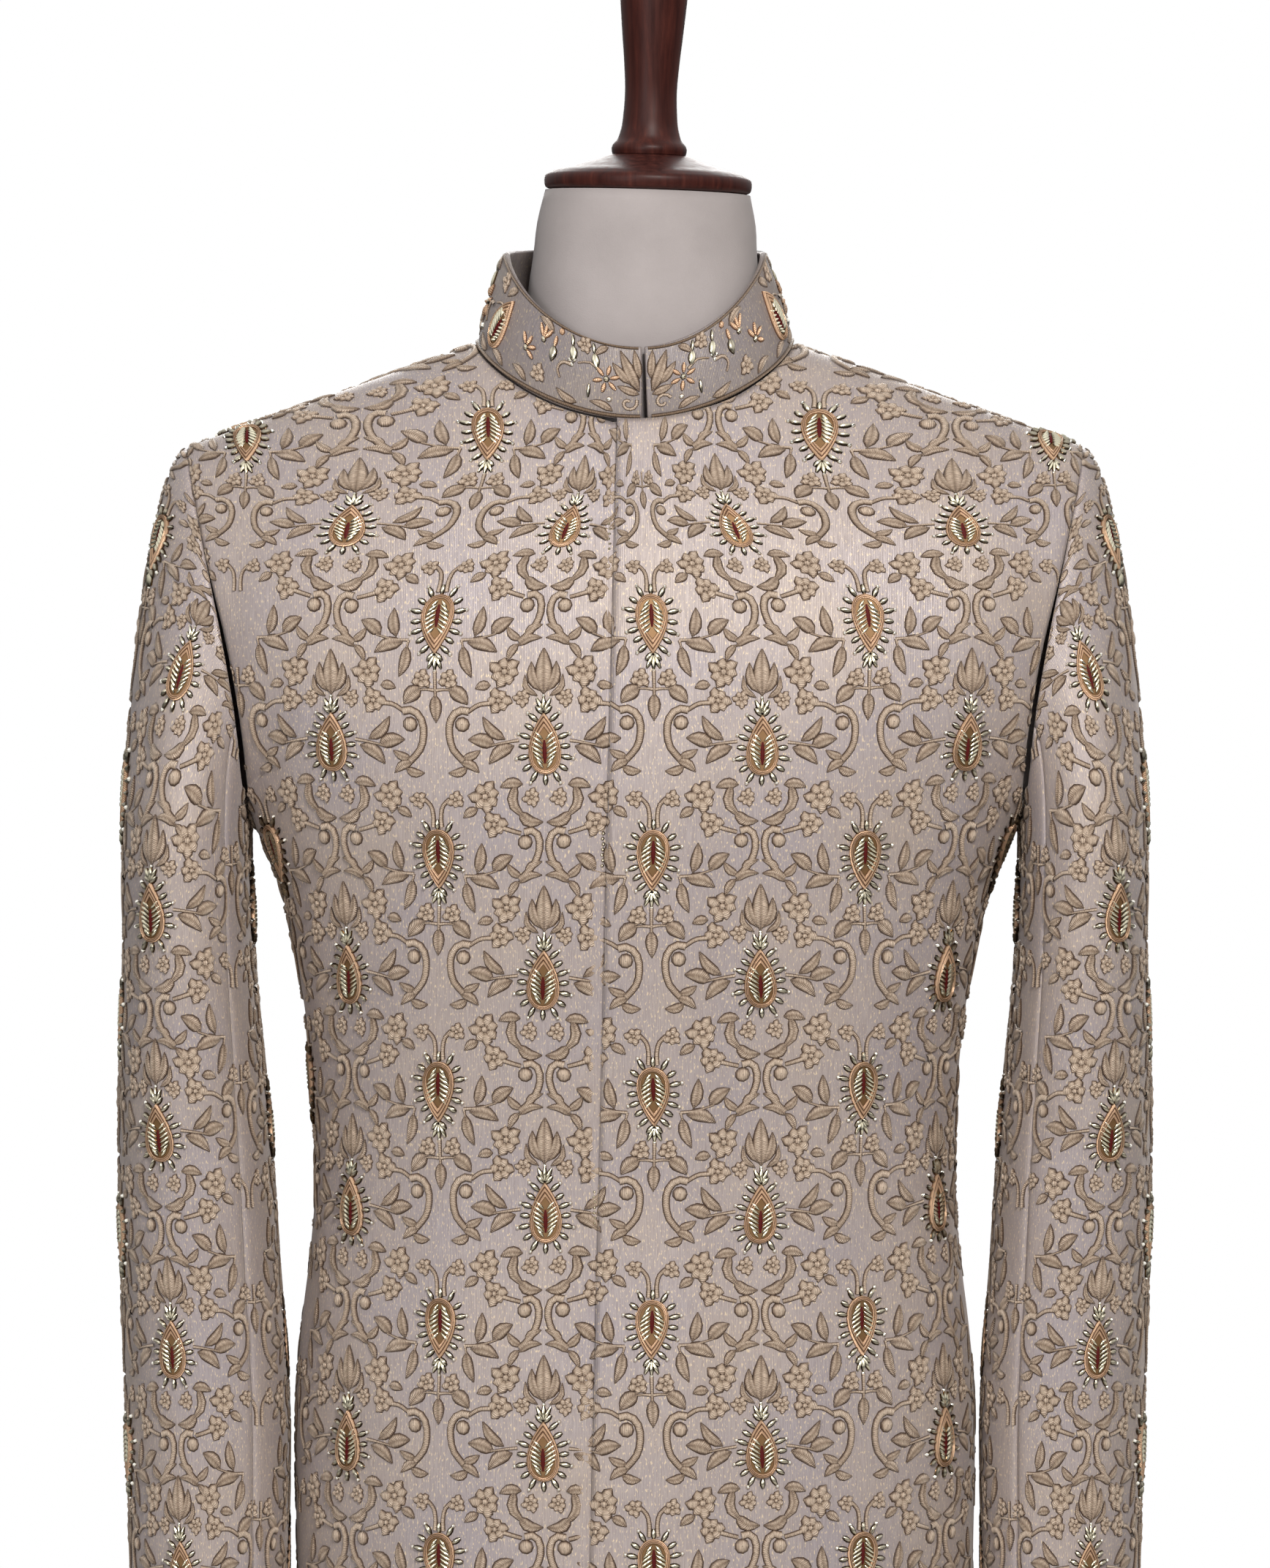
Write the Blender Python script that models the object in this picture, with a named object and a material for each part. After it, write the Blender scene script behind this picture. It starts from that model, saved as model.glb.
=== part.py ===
"""A knee-length sherwani coat with raised medallions, standing on a limbless dress form.

Metres, +Z up, floor at z = 0. The front faces -Y, so +X is the wearer's left.
"""

import math

import bpy
import numpy as np
from mathutils import Vector
from mathutils.geometry import delaunay_2d_cdt

# Driving sizes of the coat
CLOTH = 0.0020
COLLAR_CLOTH = 0.0028
SEAM_GAP = 0.0003
MITRE_GAP = SEAM_GAP * 0.6
HEM_Z = 0.420
ARMPIT_Z = 1.245
CHEST_Z = 1.335
NECK_WIDTH = 0.163
NECK_SIDE_Z = 1.4895
SHOULDER_TIP_X = 0.2325
SHOULDER_TIP_Z = 1.436
FULLNESS = 2.35

# The two fronts: the wearer's left lies on top
OVER_EDGE_NECK_X = -0.009
OVER_EDGE_DRIFT = 0.024
UNDER_EDGE_X = 0.020
OVERLAP_LIFT = 0.0029
LIFT_FADE = (0.024, 0.055)

# Side slits and the soft waves of the skirt
SLIT_TOP_Z = 0.800
SLIT_HALF_GAP = 0.005
WAVE_DEPTH = 0.0045
WAVES_PER_SIDE = 2.5

# Raised medallions of the embroidery: rows that point up hang UP_DROP below those that point down
REPEAT_ACROSS = 0.110
REPEAT_DOWN = 0.1192
UP_DROP = 0.0602
SLEEVE_REPEAT_DOWN = 0.1125
LATTICE_X = 0.009
LATTICE_Z = 1.346
GRAIN_LEAN = 0.026
GRAIN_FALL = 0.016
SLEEVE_LINE = 0.078
SLEEVE_FIRST_Z = 1.311
MEDALLION_HEIGHT = 0.0030
MEDALLION_RIM = 0.0005
MEDALLION_EDGE = 0.019
MEDALLION_ROOM = (MEDALLION_EDGE, 0.029)

# No medallion is raised this near the side seam where a sleeve hangs close, between two heights
SLEEVE_CLOSE = 0.045
SLEEVE_CLOSE_Z = (0.78, 1.02)

# Size of the triangles over the cloth, across and down, and rows close to the shoulder's ridge
BODY_STEP = (0.023, 0.040)
SLEEVE_STEP = (0.0155, 0.046)
RIDGE_ROWS = (0.010, 0.025)

BODY_ROWS = np.array(
    # height, half width, front depth, back depth
    [
        (0.420, 0.2180, 0.158, 0.150),  # hem
        (0.600, 0.1970, 0.146, 0.140),  # knee
        (0.740, 0.1815, 0.134, 0.131),  # below the cuffs
        (0.830, 0.1765, 0.127, 0.124),  # hip
        (0.946, 0.1765, 0.118, 0.111),  # below the waist
        (1.063, 0.1665, 0.107, 0.095),  # waist
        (1.144, 0.1715, 0.110, 0.098),  # midriff
        (1.180, 0.1778, 0.113, 0.102),
        (1.213, 0.1860, 0.115, 0.105),
        (1.245, 0.2000, 0.116, 0.107),  # armpit
        (1.300, 0.2310, 0.113, 0.108),  # chest
        (1.380, 0.2620, 0.104, 0.106),
        (1.450, 0.2780, 0.094, 0.104),  # shoulder
        (1.520, 0.2900, 0.086, 0.103),  # neck
    ]
)
BODY_Z, BODY_WIDTH, BODY_FRONT, BODY_BACK = BODY_ROWS.T

ARMHOLE_ROWS = np.array(
    # height, distance of the armhole seam from the middle
    [(1.245, 0.2000), (1.290, 0.2035), (1.335, 0.2110), (1.382, 0.2210), (1.436, 0.2325)]
)

SLEEVE_ROWS = np.array(
    # height, outer edge, inner edge, half depth, forward swing
    [
        (0.812, 0.2595, 0.1800, 0.0480, 0.0250),  # cuff
        (0.859, 0.2610, 0.1798, 0.0500, 0.0210),
        (0.946, 0.2640, 0.1798, 0.0550, 0.0140),
        (1.013, 0.2666, 0.1848, 0.0600, 0.0090),
        (1.063, 0.2680, 0.1885, 0.0660, 0.0060),  # elbow
        (1.123, 0.2675, 0.1940, 0.0720, 0.0040),
        (1.159, 0.2660, 0.1975, 0.0765, 0.0030),
        (1.216, 0.2655, 0.2000, 0.0800, 0.0020),  # upper arm
    ]
)
SLEEVE_Z, SLEEVE_OUTER, SLEEVE_INNER, SLEEVE_DEPTH, SLEEVE_SWING = SLEEVE_ROWS.T
CUFF_Z = SLEEVE_Z[0]
UPPER_ARM_Z = SLEEVE_Z[-1]
SLEEVE_SEAM = 0.68
CUFF_HALF_GIRTH = 0.145

# Dress form and its wooden parts
FORM_CLEARANCE = 0.009
FORM_SEAT = 0.0008
FORM_FRONT_ROLL = 2.0
FORM_BACK_ROLL = 3.0
FORM_BOTTOM_Z = 0.800
FORM_ARM_X = 0.188
NECK_TOP_Z = 1.5675
NECK_LEAN = 0.042
LEAN_FROM_Z = 1.410
CAP_TILT = math.radians(1.8)
POLE_RADIUS = 0.0165
BASE_HEIGHT = 0.034
BASE_RADIUS = 0.190

NECK_ROWS = np.array(
    # height, half width, front depth, back depth
    [
        (1.380, 0.0640, 0.0490, 0.0420),
        (1.430, 0.0630, 0.0510, 0.0440),
        (1.460, 0.0620, 0.0530, 0.0450),
        (1.490, 0.0610, 0.0550, 0.0455),
        (1.516, 0.0600, 0.0550, 0.0450),
        (1.537, 0.0578, 0.0540, 0.0445),
        (1.550, 0.0568, 0.0535, 0.0445),
        (1.568, 0.0530, 0.0515, 0.0430),
    ]
)


def smooth(at, places, values):
    """A cubic through a table's rows, whose slope at a row comes from the rows beside it."""
    slopes = np.gradient(values, places)
    at = np.clip(at, places[0], places[-1])
    row = np.clip(np.searchsorted(places, at) - 1, 0, len(places) - 2)
    step = places[row + 1] - places[row]
    u = (at - places[row]) / step
    start = (1 + 2 * u) * (1 - u) ** 2 * values[row] + u * (1 - u) ** 2 * step * slopes[row]
    end = u**2 * (3 - 2 * u) * values[row + 1] - u**2 * (1 - u) * step * slopes[row + 1]
    return start + end


def fade(value, low, high):
    """0 below low, 1 above high, and a soft step between."""
    u = np.clip((value - low) / (high - low), 0, 1)
    return u * u * (3 - 2 * u)


def unit(vectors):
    return vectors / np.maximum(np.linalg.norm(vectors, axis=-1, keepdims=True), 1e-12)


def lengths_along(points):
    """Length along each row of points, from its first one."""
    steps = np.linalg.norm(np.diff(points, axis=-2), axis=-1)
    return np.concatenate([np.zeros(steps.shape[:-1] + (1,)), np.cumsum(steps, axis=-1)], -1)


def spaced(points, count):
    """A line of points, read again at equal lengths."""
    along = lengths_along(points)
    wanted = np.linspace(0, along[-1], count)
    return np.stack([np.interp(wanted, along, points[:, axis]) for axis in range(3)], axis=1)


def between(table, row, column):
    """Reads a table between its rows and its columns."""
    row = np.clip(row, 0, table.shape[0] - 1)
    column = np.clip(column, 0, table.shape[1] - 1)
    top = np.minimum(row.astype(int), table.shape[0] - 2)
    left = np.minimum(column.astype(int), table.shape[1] - 2)
    down = (row - top)[:, None]
    across = (column - left)[:, None]
    upper = table[top, left] * (1 - across) + table[top, left + 1] * across
    lower = table[top + 1, left] * (1 - across) + table[top + 1, left + 1] * across
    return upper * (1 - down) + lower * down


# The ridge of the shoulder falls in a straight line that is rounded off at the neck.
RIDGE_ROUND = 0.040
RIDGE_NECK = math.hypot(NECK_WIDTH / 2, RIDGE_ROUND)
RIDGE_TIP = math.hypot(SHOULDER_TIP_X, RIDGE_ROUND)
RIDGE_SLOPE = (NECK_SIDE_Z - SHOULDER_TIP_Z) / (RIDGE_TIP - RIDGE_NECK)


def ridge_z(x):
    """Height of the shoulder's ridge at a distance from the middle."""
    return NECK_SIDE_Z - RIDGE_SLOPE * (np.sqrt(x * x + RIDGE_ROUND**2) - RIDGE_NECK)


def body_depth(x, z, depths, roll, drop=0.0, trim=0.0):
    """How far the body's surface stands from its middle plane: an oval across, rolled in to the
    shoulder's ridge above the armpit. drop lowers the ridge and trim draws the oval in."""
    wide = smooth(z, BODY_Z, BODY_WIDTH) - trim
    deep = smooth(z, BODY_Z, depths) - trim
    oval = (1 - np.clip(np.abs(x) / wide, 0, 1) ** FULLNESS) ** (1 / FULLNESS)
    rise = np.clip((z - ARMPIT_Z) / (ridge_z(x) - drop - ARMPIT_Z), 0, 1)
    return deep * oval * (1 - rise**roll) ** (1 / roll)


class BodySide:
    """The front or the back of the body, as a map from the flat cloth to its place.

    Across, s is the length round a level ring from the centre line. Down, t is the drop below
    the chest line, and above that line the length along the column that rolls to the ridge."""

    FRONT_ROLL = 2.3
    BACK_ROLL = 3.5
    COLUMNS = 81
    FINE = 400

    def __init__(self, facing):
        self.facing = facing
        self.depths = BODY_FRONT if facing < 0 else BODY_BACK
        self.roll = self.FRONT_ROLL if facing < 0 else self.BACK_ROLL
        self.heights = np.linspace(CHEST_Z, HEM_Z, 93)
        self.rings = np.stack([self.ring(z) for z in self.heights])
        self.girths = lengths_along(self.rings)[:, -1]
        self.chest_x = self.rings[0, :, 0]
        self.rolled = np.stack([self.column(x) for x in self.chest_x])
        self.rises = lengths_along(self.rolled)[:, -1]

    def place(self, x, z):
        y = self.facing * body_depth(x, z, self.depths, self.roll)
        return np.stack([x, y, z + 0 * x], axis=-1)

    def ring(self, z):
        """Half a level ring, from the centre line to the side, with the skirt's waves."""
        turn = np.linspace(0, math.pi / 2, self.FINE)
        wide = smooth(z, BODY_Z, BODY_WIDTH)
        points = self.place(wide * np.sin(turn) ** (2 / FULLNESS), z)
        points[-1, 1] = 0
        points = spaced(points, self.COLUMNS)
        share = np.linspace(0, 1, self.COLUMNS)
        deep = WAVE_DEPTH * fade(-z, -0.80, -HEM_Z)
        wave = deep * (1 - np.cos(2 * math.pi * WAVES_PER_SIDE * share)) * np.sin(math.pi * share)
        outward = unit(points * (1, 1, 0))
        return points - outward * wave[:, None]

    def column(self, x):
        """From the chest line up to the shoulder's ridge, at one distance from the middle."""
        top = ridge_z(x)
        start = math.asin(((CHEST_Z - ARMPIT_Z) / (top - ARMPIT_Z)) ** (self.roll / 2))
        rise = np.sin(np.linspace(start, math.pi / 2, self.FINE)) ** (2 / self.roll)
        points = self.place(np.full(self.FINE, x), ARMPIT_Z + rise * (top - ARMPIT_Z))
        points[-1, 1] = 0
        return spaced(points, 41)

    def girth(self, z):
        return np.interp(-z, -self.heights, self.girths)

    def points(self, s, t):
        s = np.asarray(s, float)
        t = np.asarray(t, float)
        across = np.abs(s)
        z = CHEST_Z - np.maximum(t, 0)
        row = (CHEST_Z - z) / (CHEST_Z - HEM_Z) * (len(self.heights) - 1)
        share = np.clip(across / self.girth(z), 0, 1)
        low = between(self.rings, row, share * (self.COLUMNS - 1))
        column = np.clip(across / self.girths[0], 0, 1) * (self.COLUMNS - 1)
        rise = np.interp(column, np.arange(self.COLUMNS), self.rises)
        high = between(self.rolled, column, -t / rise * (self.rolled.shape[1] - 1))
        found = np.where((t >= 0)[:, None], low, high)
        found[:, 0] *= np.where(s < 0, -1, 1)
        return found

    def normals(self, s, t, reach=0.001):
        along = self.points(s + reach, t) - self.points(s - reach, t)
        down = self.points(s, t + reach) - self.points(s, t - reach)
        return unit(np.cross(along, down)) * self.facing

    def flat(self, x, z):
        """Where a place on the surface lies on the flat cloth."""
        if z < CHEST_Z:
            ring = self.ring(z)
            return np.interp(x, ring[:, 0], lengths_along(ring)), CHEST_Z - z
        column = self.column(x)
        along = lengths_along(column)
        s = np.interp(x, self.chest_x, np.linspace(0, self.girths[0], self.COLUMNS))
        return s, -np.interp(z, column[:, 2], along)


FRONT = BodySide(-1)
BACK = BodySide(1)


def armhole_x(z):
    return smooth(z, ARMHOLE_ROWS[:, 0], ARMHOLE_ROWS[:, 1])


class Armhole:
    """The seam loop where a sleeve meets the body, on the +X side.

    A share f runs from 0 at the shoulder tip to 1 under the arm, over the front, and to -1 over
    the back. At each corner the two walls meet on one mitre, so their end faces stay parallel."""

    CORNERS = 15
    MOST_MITRE = 1.6

    def __init__(self):
        share = np.linspace(0, 1, self.CORNERS)
        self.z = SHOULDER_TIP_Z - (SHOULDER_TIP_Z - ARMPIT_Z) * (1 - np.cos(math.pi * share)) / 2
        self.x = armhole_x(self.z)
        front = FRONT.place(self.x, self.z)
        back = BACK.place(self.x, self.z)
        front[[0, -1], 1] = 0
        back[[0, -1], 1] = 0
        self.front_share = lengths_along(front) / lengths_along(front)[-1]
        self.back_share = lengths_along(back) / lengths_along(back)[-1]
        self.share = np.concatenate([-self.back_share[:0:-1], self.front_share])
        self.points = np.concatenate([back[:0:-1], front])
        self.set_mitres()

    def body_normals(self):
        both = []
        for side in (BACK, FRONT):
            flat = np.array([side.flat(x, z) for x, z in zip(self.x, self.z)])
            both.append(side.normals(flat[:, 0], flat[:, 1]))
        normals = np.concatenate([both[0][:0:-1], both[1]])
        normals[0] = normals[-1] = unit(both[0][-1] + both[1][-1])
        normals[self.CORNERS - 1] = unit(both[0][0] + both[1][0])
        return normals

    def departure(self, share):
        """The direction in which the sleeve leaves the seam: outward on top, down under the arm."""
        under = fade(np.abs(share), 0.45, 1.0)
        out = 0.95 - 0.80 * under
        down = 0.65 + 0.35 * under
        return unit(np.stack([out, 0 * out, -down], axis=-1))

    def set_mitres(self):
        loop = self.points
        tangent = np.empty_like(loop)
        tangent[1:-1] = unit(loop[2:] - loop[:-2])
        tangent[0] = tangent[-1] = unit(loop[1] - loop[-2])
        body = self.body_normals()
        sleeve = unit(np.cross(tangent, self.departure(self.share)))
        middle = np.array([0.205, 0, 1.335])
        sleeve *= np.sign(np.sum(sleeve * (loop - middle), axis=1, keepdims=True))
        mitre = body + sleeve
        mitre = unit(mitre - tangent * np.sum(mitre * tangent, axis=1, keepdims=True))
        lean = np.clip(np.sum(mitre * body, axis=1, keepdims=True), 1 / self.MOST_MITRE, 1)
        self.inward = -mitre * CLOTH / lean
        aside = np.cross(tangent, mitre)
        self.aside = aside * np.sign(aside[:, :1])

    def read(self, values, share):
        return np.stack([np.interp(share, self.share, values[:, axis]) for axis in range(3)], 1)

    def rim(self, share, sleeve):
        """Outer and inner points of the wall's end face, for the sleeve or for the body."""
        aside = self.read(self.aside, share) * MITRE_GAP
        outer = self.read(self.points, share) + (aside if sleeve else -aside)
        return outer, outer + self.read(self.inward, share)


ARMHOLE = Armhole()


class Sleeve:
    """A sleeve on the +X side, as a map from the flat cloth to its place.

    Across, s is the length round the tube from its outer line, forward first. Down, t starts at
    the shoulder tip's level of the flat cloth, whose top edge is the bell of a sleeve head."""

    COLUMNS = 121
    ROWS = 41
    OVAL = 2.25

    def __init__(self):
        self.shares = np.linspace(-1, 1, self.COLUMNS)
        self.heights = np.linspace(UPPER_ARM_Z, CUFF_Z, 41)
        self.tube = np.stack([self.ring(z) for z in self.heights])
        self.half_girths = lengths_along(self.tube)[:, -1] / 2
        self.head = self.head_rows()
        self.head_lengths = lengths_along(np.swapaxes(self.head, 0, 1))[:, -1]
        self.head_drop = self.head_lengths.max()
        self.length = self.head_drop + UPPER_ARM_Z - CUFF_Z

    def ring(self, z):
        """A level oval, from the inner line over the back to the outer line and on over the front."""
        outer = smooth(z, SLEEVE_Z, SLEEVE_OUTER)
        inner = smooth(z, SLEEVE_Z, SLEEVE_INNER)
        deep = smooth(z, SLEEVE_Z, SLEEVE_DEPTH)
        turn = np.linspace(-math.pi, math.pi, 801)
        across = np.sign(np.cos(turn)) * np.abs(np.cos(turn)) ** (2 / self.OVAL)
        along = -np.sign(np.sin(turn)) * np.abs(np.sin(turn)) ** (2 / self.OVAL)
        x = (outer + inner) / 2 + across * (outer - inner) / 2
        y = along * deep - smooth(z, SLEEVE_Z, SLEEVE_SWING)
        ring = np.stack([x, y, 0 * x + z], axis=1)
        back = spaced(ring[:401], self.COLUMNS // 2 + 1)
        front = spaced(ring[400:], self.COLUMNS // 2 + 1)
        return np.concatenate([back[:-1], front])

    def head_rows(self):
        """A cubic blend from the armhole seam to the upper arm's oval, share by share."""
        start = ARMHOLE.read(ARMHOLE.points, self.shares)
        end = self.tube[0]
        far = np.linalg.norm(end - start, axis=1, keepdims=True)
        leave = ARMHOLE.departure(self.shares) * far * 0.34
        arrive = np.array([0, 0, -1.0]) * far * 0.90
        rows = []
        for u in np.linspace(0, 1, self.ROWS):
            rows.append(
                (1 + 2 * u) * (1 - u) ** 2 * start
                + u * (1 - u) ** 2 * leave
                + u**2 * (3 - 2 * u) * end
                - u**2 * (1 - u) * arrive
            )
        return np.stack(rows)

    def half_girth(self, t):
        return np.interp(t, self.head_drop + UPPER_ARM_Z - self.heights, self.half_girths)

    def points(self, share, t):
        share = (np.asarray(share, float) + 1) % 2 - 1
        t = np.asarray(t, float)
        column = (share + 1) / 2 * (self.COLUMNS - 1)
        depth = self.head_drop - t
        low = between(self.tube, -depth / (UPPER_ARM_Z - CUFF_Z) * (len(self.heights) - 1), column)
        length = np.interp(share, self.shares, self.head_lengths)
        high = between(self.head, (1 - depth / length) * (self.ROWS - 1), column)
        return np.where((depth > 0)[:, None], high, low)

    def normals(self, share, t, reach=0.0015):
        turn = reach / self.half_girths[0]
        along = self.points(share + turn, t) - self.points(share - turn, t)
        down = self.points(share, t + reach) - self.points(share, t - reach)
        return unit(np.cross(along, down))

    def top_edge(self, share):
        return self.head_drop - np.interp(share, self.shares, self.head_lengths)


SLEEVE = Sleeve()


def edge_distance(points, outline):
    """Distance from each point to a closed outline, below zero outside it."""
    start = outline
    run = np.roll(outline, -1, axis=0) - outline
    offset = points[:, None] - start[None]
    along = np.clip(np.sum(offset * run, 2) / np.sum(run * run, 1), 0, 1)
    distance = np.linalg.norm(offset - along[..., None] * run, axis=2).min(axis=1)
    spans = (start[:, 1] > points[:, None, 1]) != (start[:, 1] + run[:, 1] > points[:, None, 1])
    rise = np.where(run[:, 1] == 0, 1, run[:, 1])
    crossing = start[:, 0] + offset[..., 1] / rise * run[:, 0]
    inside = np.sum(spans & (points[:, None, 0] < crossing), axis=1) % 2 == 1
    return np.where(inside, distance, -distance)


def fill_points(outline, step, margin):
    """Staggered points over the flat outline, kept off its edge."""
    low = outline.min(axis=0)
    high = outline.max(axis=0)
    rows = []
    for number, down in enumerate(np.arange(low[1] + step[1] / 2, high[1], step[1])):
        across = np.arange(low[0] + step[0] * (0.25 + 0.5 * (number % 2)), high[0], step[0])
        rows.append(np.stack([across, 0 * across + down], axis=1))
    points = np.concatenate(rows)
    return points[edge_distance(points, outline) > margin]


def triangles(outline, inside, squeeze):
    """Triangles over a flat outline and the points inside it, with the outline's points first."""
    flat = np.concatenate([outline, inside]) * (1, squeeze)
    loop = list(range(len(outline)))
    found = delaunay_2d_cdt([Vector(point) for point in flat], [], [loop], 1, 1e-7)
    origin = [sources[0] for sources in found[3]]
    return [tuple(origin[corner] for corner in face) for face in found[2]]


# A medallion is a teardrop: the rim's points and then the crown's, across and toward its tip.
TEAR_RIM = np.array(
    [(0, 0.020), (0.0080, 0.008), (0.0115, -0.005), (0.0065, -0.017),
     (-0.0065, -0.017), (-0.0115, -0.005), (-0.0080, 0.008)]
)
TEAR_CROWN = np.array([(0, 0.006), (0, -0.007)])


def drawn_in(flat):
    """Above the chest line the grain of a front leans in toward the neck and falls a little."""
    s, t = flat.T
    middle = np.tanh(s / 0.040) * (1 - 0.75 * fade(np.abs(s), 0.10, 0.20))
    lean = GRAIN_LEAN * fade(-t, 0, 0.13) * middle
    return np.stack([s - lean, t + GRAIN_FALL * fade(-t, 0.03, 0.12)], axis=1)


def medallions(outline, first, repeat, drop, drawn=False):
    """Centres and pointing directions of the lattice's medallions inside a flat outline.

    first is one that points down. Columns that point down and up take turns across, each with
    its own repeat down, and those that point up hang lower by the drop."""
    found = []
    for column in range(-6, 7):
        for row in range(-3, 10):
            up = column % 2
            s = first[0] + column * REPEAT_ACROSS / 2
            t = first[1] + row * repeat + up * drop
            found.append((s, t, -1 if up else 1))
    found = np.array(found)
    if drawn:
        found[:, :2] = drawn_in(found[:, :2])
    return found[edge_distance(found[:, :2], outline) > MEDALLION_EDGE]


def raise_medallions(inside, places):
    """Clears the plain points under each medallion and puts its own there, with their heights."""
    for s, t, _ in places:
        off = (inside - (s, t)) / MEDALLION_ROOM
        inside = inside[np.sum(off * off, axis=1) > 1]
    heights = [np.zeros(len(inside))]
    points = [inside]
    for s, t, tip in places:
        for shape, height in ((TEAR_RIM, MEDALLION_RIM), (TEAR_CROWN, MEDALLION_HEIGHT)):
            points.append(shape * (1, tip) + (s, t))
            heights.append(np.full(len(shape), height))
    return np.concatenate(points), np.concatenate(heights)


def solid(name, points, faces, material):
    mesh = bpy.data.meshes.new(name)
    mesh.from_pydata([tuple(point) for point in points], [], faces)
    mesh.materials.append(material)
    mesh.shade_smooth()
    made = bpy.data.objects.new(name, mesh)
    bpy.context.scene.collection.objects.link(made)
    return made


def wall(name, outline, pinned, place, step, near_edge, medallion_places, material, hand):
    """A cloth wall: an outer sheet with its medallions, a plain inner one and the rim between.

    place gives outer points and normals from the flat cloth. pinned holds, for the outline's
    first points, the outer and inner places that a mitred seam gives them. near_edge holds
    extra points where the cloth rolls tightly along its edge. Each rim face is split from its
    higher outer corner, so the twisted rims of two pieces fit at their seam."""
    count = len(outline)
    plain = fill_points(outline, step, min(step) * 0.55)
    for point in near_edge:
        off = (plain - point) / (0.016, 0.013)
        plain = plain[np.sum(off * off, axis=1) > 1]
    plain = np.concatenate([plain, near_edge])
    inside, heights = raise_medallions(plain, medallion_places)
    squeeze = step[0] / step[1]
    outer_faces = triangles(outline, inside, squeeze)
    inner_faces = triangles(outline, plain, squeeze)
    flat = np.concatenate([outline, inside])
    outer, normals = place(flat)
    outer = outer + normals * np.concatenate([np.zeros(count), heights])[:, None]
    flat = np.concatenate([outline, plain])
    under, normals = place(flat)
    inner = under - normals * CLOTH
    if pinned is not None:
        fixed = len(pinned[0])
        outer[:fixed] = pinned[0]
        inner[:fixed] = pinned[1]
    base = len(outer)
    faces = list(outer_faces)
    faces += [tuple(base + corner for corner in face[::-1]) for face in inner_faces]
    after = np.roll(outline, -1, axis=0)
    counterclockwise = np.sum(outline[:, 0] * after[:, 1] - outline[:, 1] * after[:, 0]) > 0
    for first in range(count):
        second = (first + 1) % count
        if outline[first, 1] <= outline[second, 1]:
            halves = ((second, first, base + second), (first, base + first, base + second))
        else:
            halves = ((second, first, base + first), (second, base + first, base + second))
        faces += halves if counterclockwise else [half[::-1] for half in halves]
    points = np.concatenate([outer, inner]) * (hand, 1, 1)
    return turned_right_way(solid(name, points, faces, material))


def turned_right_way(made):
    """Turns a closed mesh's faces out when its volume comes out below zero."""
    mesh = made.data
    volume = 0.0
    for face in mesh.polygons:
        corners = [mesh.vertices[index].co for index in face.vertices]
        for second in range(1, len(corners) - 1):
            volume += corners[0].dot(corners[second].cross(corners[second + 1]))
    if volume < 0:
        mesh.flip_normals()
    return made


def run(start, end, step):
    """Flat points from start up to, but without, end."""
    start = np.asarray(start, float)
    end = np.asarray(end, float)
    count = max(1, round(float(np.linalg.norm(end - start)) / step))
    return start + (end - start) * (np.arange(count) / count)[:, None]


NECK_CORNERS = 13


def neckline(side):
    """The neck edge of the front or back from the centre line to the shoulder, as x and z."""
    turn = np.linspace(0, math.pi / 2, NECK_CORNERS)
    x = NECK_WIDTH / 2 * np.sin(turn)
    if side is FRONT:
        z = NECK_SIDE_Z - 0.040 * np.cos(turn) ** 1.5
    else:
        z = NECK_SIDE_Z + 0.010 * np.cos(turn) ** 2.6
    return x, np.minimum(z, ridge_z(x))


def front_edge(t):
    """The free edge of the front that lies on top drifts across the centre toward the hem."""
    return OVER_EDGE_NECK_X - OVER_EDGE_DRIFT * np.clip((t + 0.12) / 1.03, 0, 1)


def side_edge(side, z):
    """The side seam, opening below the hip as a slit."""
    opening = SLIT_HALF_GAP * np.clip((SLIT_TOP_Z - z) / (SLIT_TOP_Z - HEM_Z), 0, 1)
    return side.girth(z) - SEAM_GAP / 2 - opening


def body_outline(side, centre_edge):
    """A body panel's flat outline: armhole, shoulder, neck, centre edge, hem and side seam.

    centre_edge gives s of the panel's own edge near the middle at a drop t."""
    shift = SEAM_GAP / 2
    armhole = np.array([side.flat(x, z) for x, z in zip(ARMHOLE.x, ARMHOLE.z)])[::-1]
    shoulder_x = np.linspace(SHOULDER_TIP_X, NECK_WIDTH / 2, 9)[1:-1]
    shoulder = np.array([side.flat(x, ridge_z(x)) for x in shoulder_x]) + (0, shift)
    neck_x, neck_z = neckline(side)
    neck = np.array([side.flat(x, z) for x, z in zip(neck_x, neck_z)])[::-1]
    neck[0, 1] += shift
    top = neck[-1, 1]
    edge_s = centre_edge(top)
    kept = neck[neck[:, 0] > max(edge_s, 0) + 0.003]
    if edge_s < 0:
        mirrored = neck[::-1] * (-1, 1)
        kept = np.concatenate([kept, neck[-1:], mirrored[(mirrored[:, 0] > edge_s + 0.003)][1:]])
    start = (edge_s, np.interp(abs(edge_s), neck[::-1, 0], neck[::-1, 1]))
    hem_t = CHEST_Z - HEM_Z
    down = np.linspace(start[1], hem_t, 30)
    centre = np.stack([centre_edge(down), down], axis=1)
    hem_end = side_edge(side, HEM_Z)
    hem = run(centre[-1], (hem_end, hem_t), BODY_STEP[0])[1:]
    up_z = np.linspace(HEM_Z, ARMPIT_Z, 27)[:-1]
    seam = np.stack([side_edge(side, up_z), CHEST_Z - up_z], axis=1)
    return np.concatenate([armhole, shoulder, kept, centre, hem, seam])


def ridge_points(side):
    """Two rows of points just below the shoulder's ridge, where the cloth rolls over."""
    found = []
    for drop in RIDGE_ROWS:
        for x in np.linspace(SHOULDER_TIP_X - 0.014, NECK_WIDTH / 2 + 0.014, 7):
            s, t = side.flat(x, ridge_z(x))
            found.append((s, t + drop))
    return np.array(found)


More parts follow.
